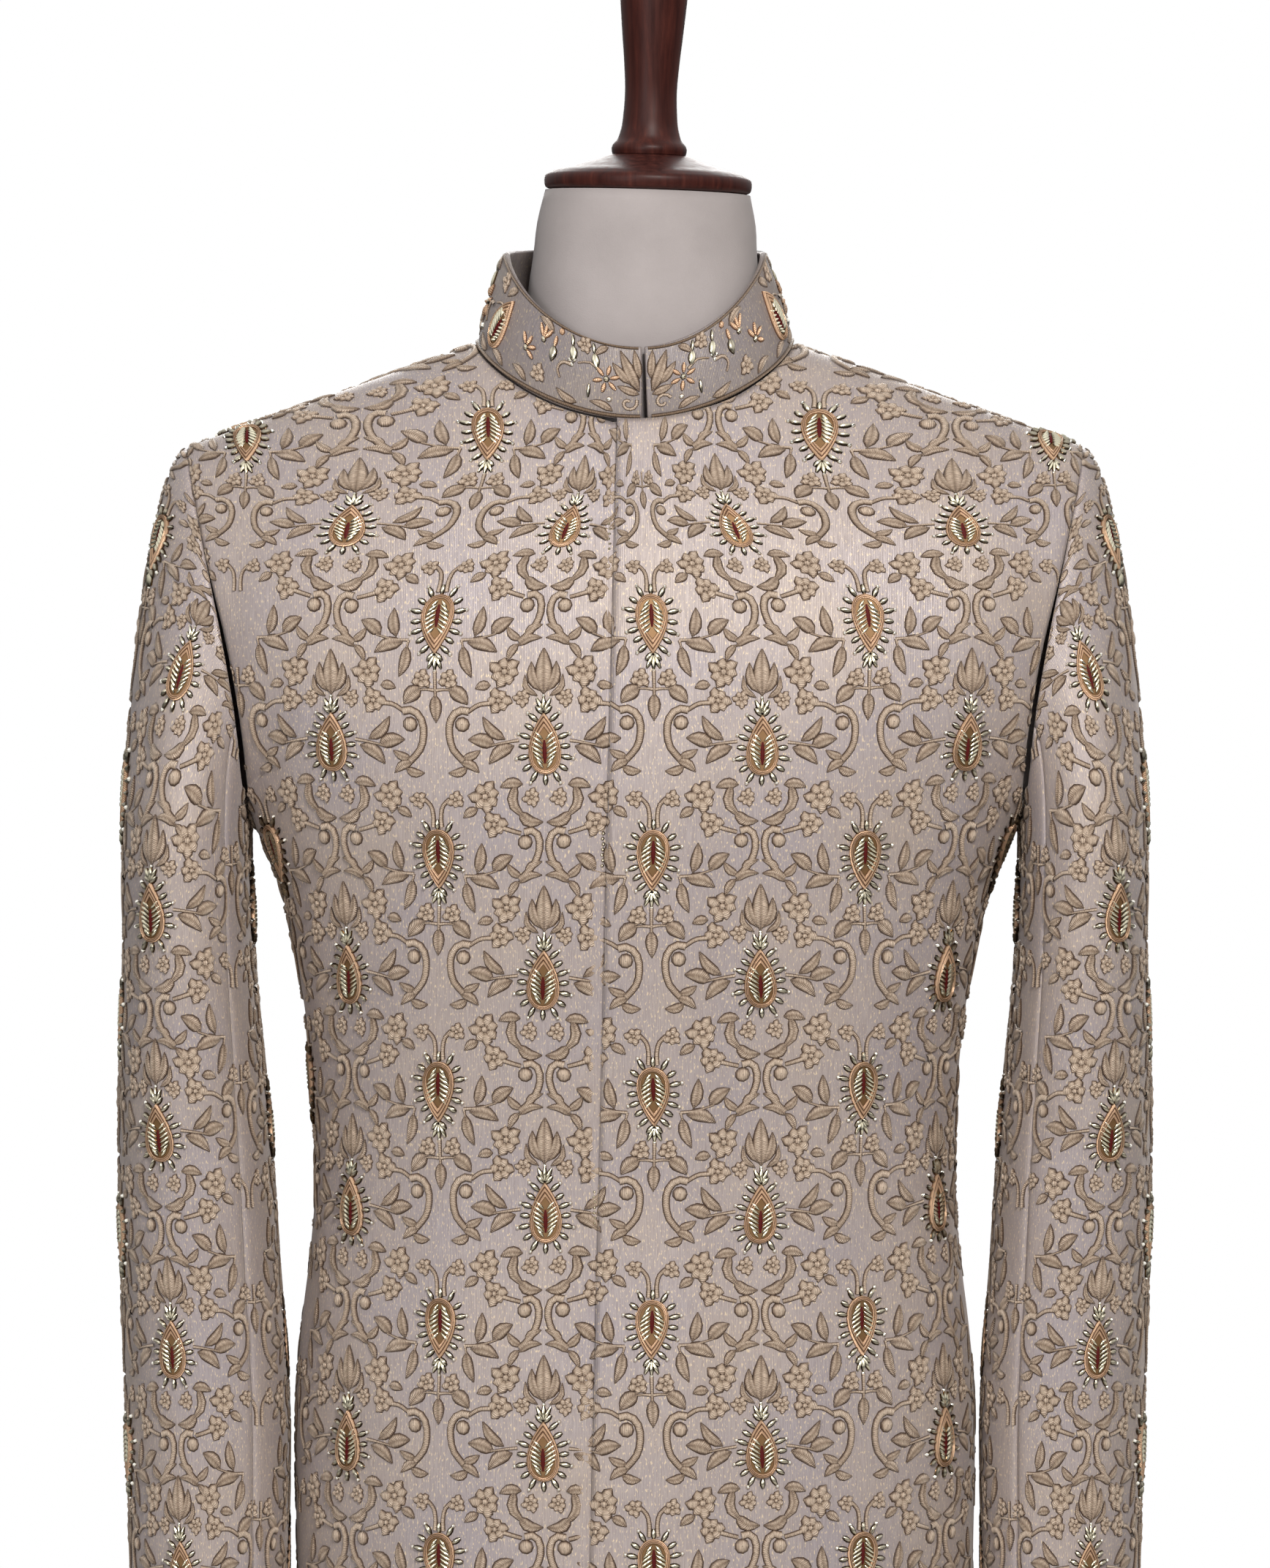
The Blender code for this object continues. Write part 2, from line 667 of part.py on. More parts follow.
def body_pins(side):
    """The mitred places of a body panel's armhole points, the underarm point first."""
    share = ARMHOLE.front_share[::-1] if side is FRONT else -ARMHOLE.back_share[::-1]
    outer, inner = ARMHOLE.rim(share, sleeve=False)
    apart = np.array([0, side.facing * SEAM_GAP / 2, 0])
    for end in (0, -1):
        outer[end] += apart
        inner[end] += apart
    return outer, inner


def body_place(side, over):
    def place(flat):
        s, t = flat.T
        points = side.points(s, t)
        normals = side.normals(s, t)
        if over:
            points = points + normals * (OVERLAP_LIFT * (1 - fade(s, *LIFT_FADE)))[:, None]
        return points, normals

    return place


def body_medallions(side, outline):
    """The lattice on a body panel. None is raised where a sleeve hangs close beside it."""
    found = medallions(outline, (LATTICE_X, CHEST_Z - LATTICE_Z), REPEAT_DOWN, UP_DROP, side is FRONT)
    z = CHEST_Z - found[:, 1]
    beside = side.girth(z) - np.abs(found[:, 0]) < SLEEVE_CLOSE
    return found[~(beside & (z > SLEEVE_CLOSE_Z[0]) & (z < SLEEVE_CLOSE_Z[1]))]


def make_body(material):
    """Two fronts, the left over the right, and two backs joined at the centre seam."""
    panels = (
        ("front_left", FRONT, front_edge, True, 1),
        ("front_right", FRONT, lambda t: -UNDER_EDGE_X + 0 * t, False, -1),
        ("back_left", BACK, lambda t: SEAM_GAP / 2 + 0 * t, False, 1),
        ("back_right", BACK, lambda t: SEAM_GAP / 2 + 0 * t, False, -1),
    )
    for name, side, edge, over, hand in panels:
        outline = body_outline(side, edge)
        places = body_medallions(side, outline * (hand, 1)) * (hand, 1, 1)
        wall(
            name, outline, body_pins(side), body_place(side, over), BODY_STEP, ridge_points(side),
            places, material, hand,
        )


def sleeve_outline(under):
    """A sleeve piece's flat outline in shares of the half girth: head, seam, cuff and seam."""
    sliver = SEAM_GAP / 2 / CUFF_HALF_GIRTH
    corners = ARMHOLE.share
    if under:
        low, high = SLEEVE_SEAM + sliver, 2 - SLEEVE_SEAM - sliver
        wrapped = np.concatenate([corners, corners[1:] + 2])
    else:
        low, high = -SLEEVE_SEAM + sliver, SLEEVE_SEAM - sliver
        wrapped = corners
    inside = wrapped[(wrapped > low + 0.01) & (wrapped < high - 0.01)]
    head = np.concatenate([[low], inside, [high]])
    top = SLEEVE.top_edge((head + 1) % 2 - 1)
    head_line = np.stack([head, top], axis=1)
    down = np.linspace(SLEEVE.top_edge(-SLEEVE_SEAM if under else SLEEVE_SEAM), SLEEVE.length, 14)[1:]
    right = np.stack([0 * down + high, down], axis=1)
    cuff = np.linspace(high, low, max(4, round((high - low) * 10)) + 1)[1:-1]
    bottom = np.stack([cuff, 0 * cuff + SLEEVE.length], axis=1)
    left_down = np.linspace(SLEEVE.top_edge(SLEEVE_SEAM if under else -SLEEVE_SEAM), SLEEVE.length, 14)[:0:-1]
    left = np.stack([0 * left_down + low, left_down], axis=1)
    return np.concatenate([head_line, right, bottom, left]), head


def make_sleeves(material):
    """Each sleeve is a wide top piece and a narrow one under the arm."""
    middle_girth = SLEEVE.half_girths[0]

    def place(flat):
        share = flat[:, 0] / middle_girth
        return SLEEVE.points(share, flat[:, 1]), SLEEVE.normals(share, flat[:, 1])

    for hand, side_name in ((1, "left"), (-1, "right")):
        for piece, under in (("top", False), ("under", True)):
            outline, head = sleeve_outline(under)
            outline = outline * (middle_girth, 1)
            pins = ARMHOLE.rim((head + 1) % 2 - 1, sleeve=True)
            places = np.empty((0, 3)) if under else sleeve_medallions(outline)
            wall(
                f"sleeve_{side_name}_{piece}", outline, pins, place, SLEEVE_STEP,
                np.empty((0, 2)), places, material, hand,
            )


def sleeve_medallions(outline):
    """A column that points up runs down the sleeve's forward face."""
    drop = SLEEVE_REPEAT_DOWN / 2
    first = SLEEVE.head_drop + UPPER_ARM_Z - SLEEVE_FIRST_Z
    return medallions(outline, (SLEEVE_LINE - REPEAT_ACROSS / 2, first - drop), SLEEVE_REPEAT_DOWN, drop)


# The band collar: its top edge dips in front and stands level behind.
COLLAR_GAP_X = 0.005
COLLAR_GAP_HALF = (0.0014, 0.0008)
COLLAR_ROWS = 5
COLLAR_COLUMNS = 4 * (NECK_CORNERS - 1) + 2
COLLAR_TOP_WIDTH = 0.067
COLLAR_SEAT = SEAM_GAP * 1.5


def collar_base(turn):
    """The collar's foot follows the neckline. turn is 0 in front and pi behind."""
    x = NECK_WIDTH / 2 * np.sin(turn)
    cos = np.cos(turn)
    front_z = NECK_SIDE_Z - 0.040 * np.maximum(cos, 0) ** 1.5
    back_z = NECK_SIDE_Z + 0.010 * np.maximum(-cos, 0) ** 2.6
    z = np.minimum(np.where(cos > 0, front_z, back_z), ridge_z(x))
    front = FRONT.place(x, z)
    back = BACK.place(x, z)
    return np.where((cos > 0)[:, None], front, back)


def collar_top(turn):
    cos = np.cos(turn)
    x = COLLAR_TOP_WIDTH * np.sin(turn)
    y = np.where(cos > 0, -0.0625 * cos, -0.0540 * cos)
    z = 1.537 - 0.050 * np.maximum(cos, 0) ** 1.4 + 0.0035 * np.maximum(-cos, 0)
    return np.stack([x, y, z], axis=1)


def make_collar(material):
    """A stiff band that stands on the neckline, its two ends parted at the throat."""
    foot_gap, top_gap = COLLAR_GAP_HALF
    start = np.arcsin((COLLAR_GAP_X + np.linspace(foot_gap, top_gap, COLLAR_ROWS)) * 2 / NECK_WIDTH)
    end = np.arcsin((COLLAR_GAP_X - np.linspace(foot_gap, top_gap, COLLAR_ROWS)) * 2 / NECK_WIDTH)
    between_ends = np.arange(1, COLLAR_COLUMNS - 1) * math.pi / 2 / (NECK_CORNERS - 1)
    outer = []
    for row in range(COLLAR_ROWS):
        turn = np.concatenate([[start[row]], between_ends, [2 * math.pi + end[row]]])
        up = row / (COLLAR_ROWS - 1)
        base = collar_base(turn)
        top = collar_top(turn)
        seat = unit(top - base) * COLLAR_SEAT
        outer.append((base + seat) * (1 - up) + top * up)
    outer = np.stack(outer)
    along = np.gradient(outer, axis=1)
    upward = np.gradient(outer, axis=0)
    inner = outer - unit(np.cross(along, upward)) * COLLAR_CLOTH
    points = np.concatenate([outer.reshape(-1, 3), inner.reshape(-1, 3)])
    base = COLLAR_ROWS * COLLAR_COLUMNS
    faces = []
    for row in range(COLLAR_ROWS - 1):
        for column in range(COLLAR_COLUMNS - 1):
            a = row * COLLAR_COLUMNS + column
            quad = (a, a + 1, a + 1 + COLLAR_COLUMNS, a + COLLAR_COLUMNS)
            faces.append(quad)
            faces.append(tuple(base + corner for corner in quad[::-1]))
    foot = list(range(COLLAR_COLUMNS))
    last = [row * COLLAR_COLUMNS + COLLAR_COLUMNS - 1 for row in range(1, COLLAR_ROWS)]
    crest = [(COLLAR_ROWS - 1) * COLLAR_COLUMNS + column for column in range(COLLAR_COLUMNS - 2, -1, -1)]
    first = [row * COLLAR_COLUMNS for row in range(COLLAR_ROWS - 2, 0, -1)]
    rim = foot + last + crest + first
    for here, there in zip(rim, rim[1:] + rim[:1]):
        faces.append((there, here, base + here, base + there))
    turned_right_way(solid("collar", points, faces, material))


def neck_centre(z):
    return NECK_LEAN * max(z - LEAN_FROM_Z, 0)


FORM_COLUMNS = 15
FORM_SPREAD = 0.985
FORM_LEVELS = (0.870, 0.940, 1.010, 1.080, 1.140, 1.195)
FORM_RISES = (0, 0.22, 0.42, 0.60, 0.75, 0.87, 0.94, 0.980, 0.9985)
NECK_SIDES = 40
NECK_LEVELS = (1.410, 1.460, 1.485, 1.500, 1.516, 1.531, 1.545, 1.557, NECK_TOP_Z)


def form_row(level, rise):
    """Front and back points of one row: level below the armpit, then parallel to the ridge."""
    trim = CLOTH + FORM_CLEARANCE
    drop = (CLOTH + FORM_SEAT) / math.cos(math.atan(RIDGE_SLOPE))
    spread = FORM_SPREAD * np.sin(np.linspace(-math.pi / 2, math.pi / 2, FORM_COLUMNS))
    reach = min(float(smooth(level, BODY_Z, BODY_WIDTH)) - trim, FORM_ARM_X / FORM_SPREAD)
    x = spread * reach
    z = level + rise * (ridge_z(x) - drop - level)
    front = -body_depth(x, z, BODY_FRONT, FORM_FRONT_ROLL, drop, trim)
    back = body_depth(x, z, BODY_BACK, FORM_BACK_ROLL, drop, trim)
    return np.concatenate([np.stack([x, front, z], 1), np.stack([x, back, z], 1)[::-1]])


def loft(name, rings, material, strip=False):
    """A closed solid over rings of equal count, its first ring filled. The last ring is filled
    too, or with strip its front and back halves are joined by a strip along the shoulders."""
    count = len(rings[0])
    last = (len(rings) - 1) * count
    faces = [tuple(range(count))[::-1]]
    for row in range(len(rings) - 1):
        for side in range(count):
            following = (side + 1) % count
            low = row * count
            faces.append((low + side, low + following, low + count + following, low + count + side))
    if strip:
        for column in range(count // 2 - 1):
            across = count - 1 - column
            faces.append((last + column, last + column + 1, last + across - 1, last + across))
    else:
        faces.append(tuple(last + side for side in range(count)))
    return turned_right_way(solid(name, np.concatenate(rings), faces, material))


def neck_ring(z):
    """A leaning oval, its plane tipped toward the cap's as it nears the top."""
    rows = NECK_ROWS.T
    wide, front, back = (float(smooth(z, rows[0], row)) for row in rows[1:])
    angles = np.arange(NECK_SIDES) / NECK_SIDES * 2 * math.pi
    x = wide * np.cos(angles)
    y = np.where(np.sin(angles) < 0, front, back) * np.sin(angles)
    tilt = math.tan(CAP_TILT) * fade(z, 1.53, NECK_TOP_Z)
    return np.stack([x + neck_centre(z), y, z - tilt * x], axis=1)


def make_form(material):
    """The cloth-covered torso, closed below the hip and along its shoulders, and its neck."""
    bottom = form_row(FORM_BOTTOM_Z, 0)
    rows = [bottom * (0.96, 0.95, 1), bottom + (0, 0, 0.008)]
    rows += [form_row(level, 0) for level in FORM_LEVELS]
    rows += [form_row(ARMPIT_Z, rise) for rise in FORM_RISES]
    torso = loft("dress_form", rows, material, strip=True)
    neck = loft("neck_helper", [neck_ring(z) for z in NECK_LEVELS], material)
    neck.hide_render = True
    neck.display_type = "WIRE"
    join = torso.modifiers.new("neck", "BOOLEAN")
    join.operation = "UNION"
    join.object = neck


def turned(name, profile, sides, material):
    """A lathe-turned piece from (radius, height) rows, bottom to top, closed on its axis."""
    angle = np.arange(sides) / sides * 2 * math.pi
    rings = [
        np.stack([radius * np.cos(angle), radius * np.sin(angle), 0 * angle + height], axis=1)
        for radius, height in profile
    ]
    made = loft(name, rings, material)
    made.data.set_sharp_from_angle(angle=math.radians(35))
    return made


CAP_PROFILE = (
    # radius, height above the neck's top
    (0.0500, 0.0000), (0.0530, 0.0012), (0.0538, 0.0040), (0.0534, 0.0072), (0.0505, 0.0092),
    (0.0400, 0.0125), (0.0240, 0.0175), (0.0200, 0.0190),
)
FINIAL_PROFILE = (
    # radius, height above the cap
    (0.0190, 0.0000), (0.0196, 0.0030), (0.0188, 0.0052), (0.0172, 0.0068), (0.0152, 0.0120),
    (0.0139, 0.0220), (0.0135, 0.0320), (0.0142, 0.0450), (0.0158, 0.0620), (0.0174, 0.0800),
    (0.0184, 0.0960), (0.0180, 0.1110), (0.0158, 0.1240), (0.0118, 0.1330), (0.0060, 0.1380),
)


def make_wood(material):
    """The cap on the neck, the finial screwed into it, the pole and the round base."""
    cap = turned("neck_cap", CAP_PROFILE, 40, material)
    top = Vector((neck_centre(NECK_TOP_Z), 0, NECK_TOP_Z))
    up = Vector((math.sin(CAP_TILT), 0, math.cos(CAP_TILT)))
    cap.location = top + up * SEAM_GAP
    finial = turned("finial", FINIAL_PROFILE, 24, material)
    finial.location = cap.location + up * (CAP_PROFILE[-1][1] + SEAM_GAP)
    for piece in (cap, finial):
        piece.rotation_euler = (0, CAP_TILT, 0)
    pole = turned("pole", ((POLE_RADIUS, 0), (POLE_RADIUS, FORM_BOTTOM_Z - BASE_HEIGHT - 2 * SEAM_GAP)), 24, material)
    pole.location = (0, 0, BASE_HEIGHT + SEAM_GAP)
    base_profile = (
        (BASE_RADIUS - 0.004, 0), (BASE_RADIUS, 0.004), (BASE_RADIUS, 0.016),
        (BASE_RADIUS - 0.006, 0.024), (BASE_RADIUS - 0.030, 0.028), (0.040, BASE_HEIGHT),
    )
    turned("stand_base", base_profile, 48, material)


def finish(name, colour, roughness, metallic=0.0):
    material = bpy.data.materials.new(name)
    material.use_nodes = True
    shader = material.node_tree.nodes["Principled BSDF"]
    shader.inputs["Base Color"].default_value = (*colour, 1)
    shader.inputs["Roughness"].default_value = roughness
    shader.inputs["Metallic"].default_value = metallic
    return material


def make_all():
    for old in list(bpy.data.objects):
        bpy.data.objects.remove(old)
    silk = finish("silver silk", (0.50, 0.41, 0.36), 0.45, 0.1)
    calico = finish("ivory calico", (0.45, 0.40, 0.39), 0.9)
    wood = finish("dark wood", (0.05, 0.012, 0.009), 0.3)
    make_body(silk)
    make_sleeves(silk)
    make_collar(silk)
    make_form(calico)
    make_wood(wood)


make_all()
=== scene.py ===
import math

import bpy
import numpy as np
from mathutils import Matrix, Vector


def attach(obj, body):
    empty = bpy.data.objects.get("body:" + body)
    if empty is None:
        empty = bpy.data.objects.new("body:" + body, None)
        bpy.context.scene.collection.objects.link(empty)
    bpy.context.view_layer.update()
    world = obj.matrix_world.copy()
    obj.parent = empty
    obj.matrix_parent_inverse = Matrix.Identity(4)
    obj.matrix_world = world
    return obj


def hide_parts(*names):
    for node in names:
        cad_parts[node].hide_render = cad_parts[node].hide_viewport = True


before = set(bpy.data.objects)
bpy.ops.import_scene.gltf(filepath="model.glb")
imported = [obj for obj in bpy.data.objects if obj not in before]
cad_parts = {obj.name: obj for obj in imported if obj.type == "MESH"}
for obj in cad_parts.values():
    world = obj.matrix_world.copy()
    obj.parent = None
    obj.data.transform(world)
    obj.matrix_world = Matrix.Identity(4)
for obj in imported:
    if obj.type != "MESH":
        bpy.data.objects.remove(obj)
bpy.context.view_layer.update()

# Studio: a pale floor and a white surround, as for a shop picture of a coat. A soft lamp stands
# in front, a little above the shoulders, and a weaker one opposite, so both sides of the coat
# turn away into shade. Polished things mirror a tent that is bright above and dark below.
PHOTO_ROWS = 2144
METRES_PER_ROW = 0.000375
CAMERA_DISTANCE = 3.95
CAMERA_Z = 1.420
VIEW_CENTRE_Z = 1.261
SENSOR = 36.0
WHITE = (1.0, 1.0, 1.0, 1.0)
SURROUND_LIGHT = 0.18
TENT_LIGHT = (0.10, 1.25)


def look_at(thing, target):
    """Turns a lamp or camera so that it looks from its place at the target."""
    thing.rotation_euler = (Vector(target) - thing.location).to_track_quat("-Z", "Y").to_euler()


def lamp(name, place, target, size, power, colour):
    """A square soft lamp at a place, facing the target."""
    data = bpy.data.lights.new(name, "AREA")
    data.shape = "SQUARE"
    data.size = size
    data.energy = power
    data.color = colour
    made = bpy.data.objects.new(name, data)
    made.location = place
    bpy.context.scene.collection.objects.link(made)
    look_at(made, target)


camera_data = bpy.data.cameras.new("camera")
camera = bpy.data.objects.new("camera", camera_data)
bpy.context.scene.collection.objects.link(camera)
camera.location = (0.0, -CAMERA_DISTANCE - 0.05, CAMERA_Z)
look_at(camera, (0.0, 0.0, VIEW_CENTRE_Z))
camera_data.sensor_width = SENSOR
camera_data.lens = SENSOR * CAMERA_DISTANCE / (PHOTO_ROWS * METRES_PER_ROW)
bpy.context.scene.camera = camera
bpy.context.scene.view_settings.view_transform = "Standard"

lamp("key", (0.45, -2.35, 2.75), (0.0, 0.0, 1.30), 0.50, 56.0, (1.0, 0.975, 0.94))
lamp("fill", (-1.30, -2.9, 1.70), (0.0, 0.0, 1.15), 1.20, 20.5, (0.97, 0.98, 1.0))
lamp("back_fill", (0.0, 3.2, 2.4), (0.0, 0.0, 1.10), 1.60, 50.0, (1.0, 0.99, 0.97))

world = bpy.data.worlds.new("surround")
bpy.context.scene.world = world
world.use_nodes = True
nodes = world.node_tree.nodes
nodes.clear()
seen = nodes.new("ShaderNodeBackground")
seen.inputs["Color"].default_value = WHITE
lighting = nodes.new("ShaderNodeBackground")
lighting.inputs["Color"].default_value = (1.0, 0.96, 0.92, 1.0)
lighting.inputs["Strength"].default_value = SURROUND_LIGHT
tent = nodes.new("ShaderNodeBackground")
direction = nodes.new("ShaderNodeSeparateXYZ")
upward = nodes.new("ShaderNodeMapRange")
for socket, value in ((1, -0.15), (2, 0.45), (3, TENT_LIGHT[0]), (4, TENT_LIGHT[1])):
    upward.inputs[socket].default_value = value
around = nodes.new("ShaderNodeTexCoord")
world.node_tree.links.new(around.outputs["Generated"], direction.inputs[0])
world.node_tree.links.new(direction.outputs["Z"], upward.inputs[0])
world.node_tree.links.new(upward.outputs[0], tent.inputs["Strength"])
rays = nodes.new("ShaderNodeLightPath")
mirrored = nodes.new("ShaderNodeMixShader")
chosen = nodes.new("ShaderNodeMixShader")
world_output = nodes.new("ShaderNodeOutputWorld")
world.node_tree.links.new(rays.outputs["Is Glossy Ray"], mirrored.inputs["Fac"])
world.node_tree.links.new(lighting.outputs[0], mirrored.inputs[1])
world.node_tree.links.new(tent.outputs[0], mirrored.inputs[2])
world.node_tree.links.new(rays.outputs["Is Camera Ray"], chosen.inputs["Fac"])
world.node_tree.links.new(mirrored.outputs[0], chosen.inputs[1])
world.node_tree.links.new(seen.outputs[0], chosen.inputs[2])
world.node_tree.links.new(chosen.outputs[0], world_output.inputs["Surface"])

floor_mesh = bpy.data.meshes.new("floor")
floor_mesh.from_pydata([(-4, -4, 0), (4, -4, 0), (4, 4, 0), (-4, 4, 0)], [], [(0, 1, 2, 3)])
floor = bpy.data.objects.new("floor", floor_mesh)
bpy.context.scene.collection.objects.link(floor)
floor_paint = bpy.data.materials.new("pale floor")
floor_paint.use_nodes = True
floor_paint.node_tree.nodes["Principled BSDF"].inputs["Base Color"].default_value = (0.86, 0.86, 0.85, 1)
floor_paint.node_tree.nodes["Principled BSDF"].inputs["Roughness"].default_value = 0.7
floor_mesh.materials.append(floor_paint)


# The silk of the coat: a silver-lilac raw silk with fine upright slubs and a scatter of gold
# filament. Its maps hang a flat piece of cloth, across s and down t, on the coat's standing
# form, so the weave and the embroidery follow the cut of each piece.
CLOTH = 0.0017
HEM_Z = 0.420
ARMPIT_Z = 1.245
CHEST_Z = 1.335
NECK_WIDTH = 0.163
NECK_SIDE_Z = 1.4895
SHOULDER_TIP_X = 0.2325
SHOULDER_TIP_Z = 1.436
RIDGE_ROUND = 0.040
FULLNESS = 2.35
SKIRT_WAVE = 0.0045
WAVES_PER_SIDE = 2.5

BODY_ROWS = np.array(
    # height, half width, front depth, back depth
    [
        (0.420, 0.2180, 0.158, 0.150),
        (0.600, 0.1970, 0.146, 0.140),
        (0.740, 0.1815, 0.134, 0.131),
        (0.830, 0.1765, 0.127, 0.124),
        (0.946, 0.1765, 0.118, 0.111),
        (1.063, 0.1665, 0.107, 0.095),
        (1.144, 0.1715, 0.110, 0.098),
        (1.180, 0.1778, 0.113, 0.102),
        (1.213, 0.1860, 0.115, 0.105),
        (1.245, 0.2000, 0.116, 0.107),
        (1.300, 0.2310, 0.113, 0.108),
        (1.380, 0.2620, 0.104, 0.106),
        (1.450, 0.2780, 0.094, 0.104),
        (1.520, 0.2900, 0.086, 0.103),
    ]
)
BODY_Z, BODY_WIDTH, BODY_FRONT, BODY_BACK = BODY_ROWS.T


def smooth(at, places, values):
    """A cubic through a table's rows, whose slope at a row comes from the rows beside it."""
    slopes = np.gradient(values, places)
    at = np.clip(at, places[0], places[-1])
    row = np.clip(np.searchsorted(places, at) - 1, 0, len(places) - 2)
    step = places[row + 1] - places[row]
    u = (at - places[row]) / step
    start = (1 + 2 * u) * (1 - u) ** 2 * values[row] + u * (1 - u) ** 2 * step * slopes[row]
    end = u**2 * (3 - 2 * u) * values[row + 1] - u**2 * (1 - u) * step * slopes[row + 1]
    return start + end


def fade(value, low, high):
    """0 below low, 1 above high, and a soft step between."""
    u = np.clip((value - low) / (high - low), 0, 1)
    return u * u * (3 - 2 * u)


def unit(vectors):
    """Vectors divided by their own length."""
    return vectors / np.maximum(np.linalg.norm(vectors, axis=-1, keepdims=True), 1e-12)


def lengths_along(points):
    """Length along each row of points, summed from its first one."""
    steps = np.linalg.norm(np.diff(points, axis=-2), axis=-1)
    return np.concatenate([np.zeros(steps.shape[:-1] + (1,)), np.cumsum(steps, axis=-1)], -1)


def spaced(points, count):
    """A line of points, read again at equal lengths."""
    along = lengths_along(points)
    wanted = np.linspace(0, along[-1], count)
    return np.stack([np.interp(wanted, along, column) for column in points.T], axis=1)


def between(table, row, column):
    """Reads a table between its rows and its columns, in straight lines both ways."""
    row = np.clip(row, 0, table.shape[0] - 1)
    column = np.clip(column, 0, table.shape[1] - 1)
    top = np.minimum(row.astype(int), table.shape[0] - 2)
    left = np.minimum(column.astype(int), table.shape[1] - 2)
    down = (row - top)[:, None]
    across = (column - left)[:, None]
    upper = table[top, left] * (1 - across) + table[top, left + 1] * across
    lower = table[top + 1, left] * (1 - across) + table[top + 1, left + 1] * across
    return upper * (1 - down) + lower * down


RIDGE_NECK = math.hypot(NECK_WIDTH / 2, RIDGE_ROUND)
RIDGE_TIP = math.hypot(SHOULDER_TIP_X, RIDGE_ROUND)
RIDGE_SLOPE = (NECK_SIDE_Z - SHOULDER_TIP_Z) / (RIDGE_TIP - RIDGE_NECK)


def ridge_z(x):
    """Height of the shoulder's ridge: a straight fall outward, rounded off at the middle."""
    return NECK_SIDE_Z - RIDGE_SLOPE * (np.sqrt(x * x + RIDGE_ROUND**2) - RIDGE_NECK)


def body_depth(x, z, depths, roll, drop=0.0, trim=0.0):
    """Depth of the body: an oval across, times a rounded roll in to the ridge above the armpit."""
    wide = smooth(z, BODY_Z, BODY_WIDTH) - trim
    deep = smooth(z, BODY_Z, depths) - trim
    oval = (1 - np.clip(np.abs(x) / wide, 0, 1) ** FULLNESS) ** (1 / FULLNESS)
    rise = np.clip((z - ARMPIT_Z) / (ridge_z(x) - drop - ARMPIT_Z), 0, 1)
    return deep * oval * (1 - rise**roll) ** (1 / roll)


class BodySide:
    """The front or back of the body as a map from the flat cloth.

    Across, s is the length round a level ring from the centre line. Down, t is the drop below
    the chest line, and above that line the length along the column that rolls to the ridge."""

    COLUMNS = 161

    def __init__(self, facing, depths, roll):
        self.facing = facing
        self.depths = depths
        self.roll = roll
        self.heights = np.linspace(CHEST_Z, HEM_Z, 306)
        self.rings = np.stack([self.ring(z) for z in self.heights])
        self.girths = lengths_along(self.rings)[:, -1]
        self.chest_x = self.rings[0, :, 0]
        self.rolled = np.stack([self.column(x) for x in self.chest_x])
        self.rises = lengths_along(self.rolled)[:, -1]

    def place(self, x, z):
        """The point at a distance from the middle and a height."""
        y = self.facing * body_depth(x, z, self.depths, self.roll)
        return np.stack([x, y, z + 0 * x], axis=-1)

    def ring(self, z):
        """Half a level ring from the centre line to the side, drawn in by the skirt's waves."""
        turn = np.linspace(0, math.pi / 2, 500)
        wide = smooth(z, BODY_Z, BODY_WIDTH)
        points = self.place(wide * np.sin(turn) ** (2 / FULLNESS), z)
        points[-1, 1] = 0
        points = spaced(points, self.COLUMNS)
        share = np.linspace(0, 1, self.COLUMNS)
        deep = SKIRT_WAVE * fade(-z, -0.80, -HEM_Z)
        wave = deep * (1 - np.cos(2 * math.pi * WAVES_PER_SIDE * share)) * np.sin(math.pi * share)
        return points - unit(points * (1, 1, 0)) * wave[:, None]

    def column(self, x):
        """From the chest line up to the shoulder's ridge, at one distance from the middle."""
        top = ridge_z(x)
        start = math.asin(((CHEST_Z - ARMPIT_Z) / (top - ARMPIT_Z)) ** (self.roll / 2))
        rise = np.sin(np.linspace(start, math.pi / 2, 500)) ** (2 / self.roll)
        points = self.place(np.full(500, x), ARMPIT_Z + rise * (top - ARMPIT_Z))
        points[-1, 1] = 0
        return spaced(points, 121)

    def girth(self, z):
        """Length of half a level ring, by height."""
        return np.interp(-np.asarray(z), -self.heights, self.girths)

    def points(self, s, t):
        """Where the places s, t of the flat cloth hang."""
        across = np.abs(s)
        z = CHEST_Z - np.maximum(t, 0)
        row = (CHEST_Z - z) / (CHEST_Z - HEM_Z) * (len(self.heights) - 1)
        share = np.clip(across / self.girth(z), 0, 1)
        low = between(self.rings, row, share * (self.COLUMNS - 1))
        column = np.clip(across / self.girths[0], 0, 1) * (self.COLUMNS - 1)
        rise = np.interp(column, np.arange(self.COLUMNS), self.rises)
        high = between(self.rolled, column, -t / rise * (self.rolled.shape[1] - 1))
        found = np.where((t >= 0)[:, None], low, high)
        found[:, 0] *= np.where(s < 0, -1, 1)
        return found

    def normals(self, s, t, reach=0.002):
        """The outward direction, from the cross product of the two slopes."""
        along = self.points(s + reach, t) - self.points(s - reach, t)
        down = self.points(s, t + reach) - self.points(s, t - reach)
        return unit(np.cross(along, down)) * self.facing

    def flat(self, x, z):
        """Where a point of the surface lies on the flat cloth."""
        if z < CHEST_Z:
            ring = self.ring(z)
            return np.interp(x, ring[:, 0], lengths_along(ring)), CHEST_Z - z
        column = self.column(x)
        s = np.interp(x, self.chest_x, np.linspace(0, self.girths[0], self.COLUMNS))
        return s, -np.interp(z, column[:, 2], lengths_along(column))


FRONT = BodySide(-1, BODY_FRONT, 2.3)
BACK = BodySide(1, BODY_BACK, 3.5)


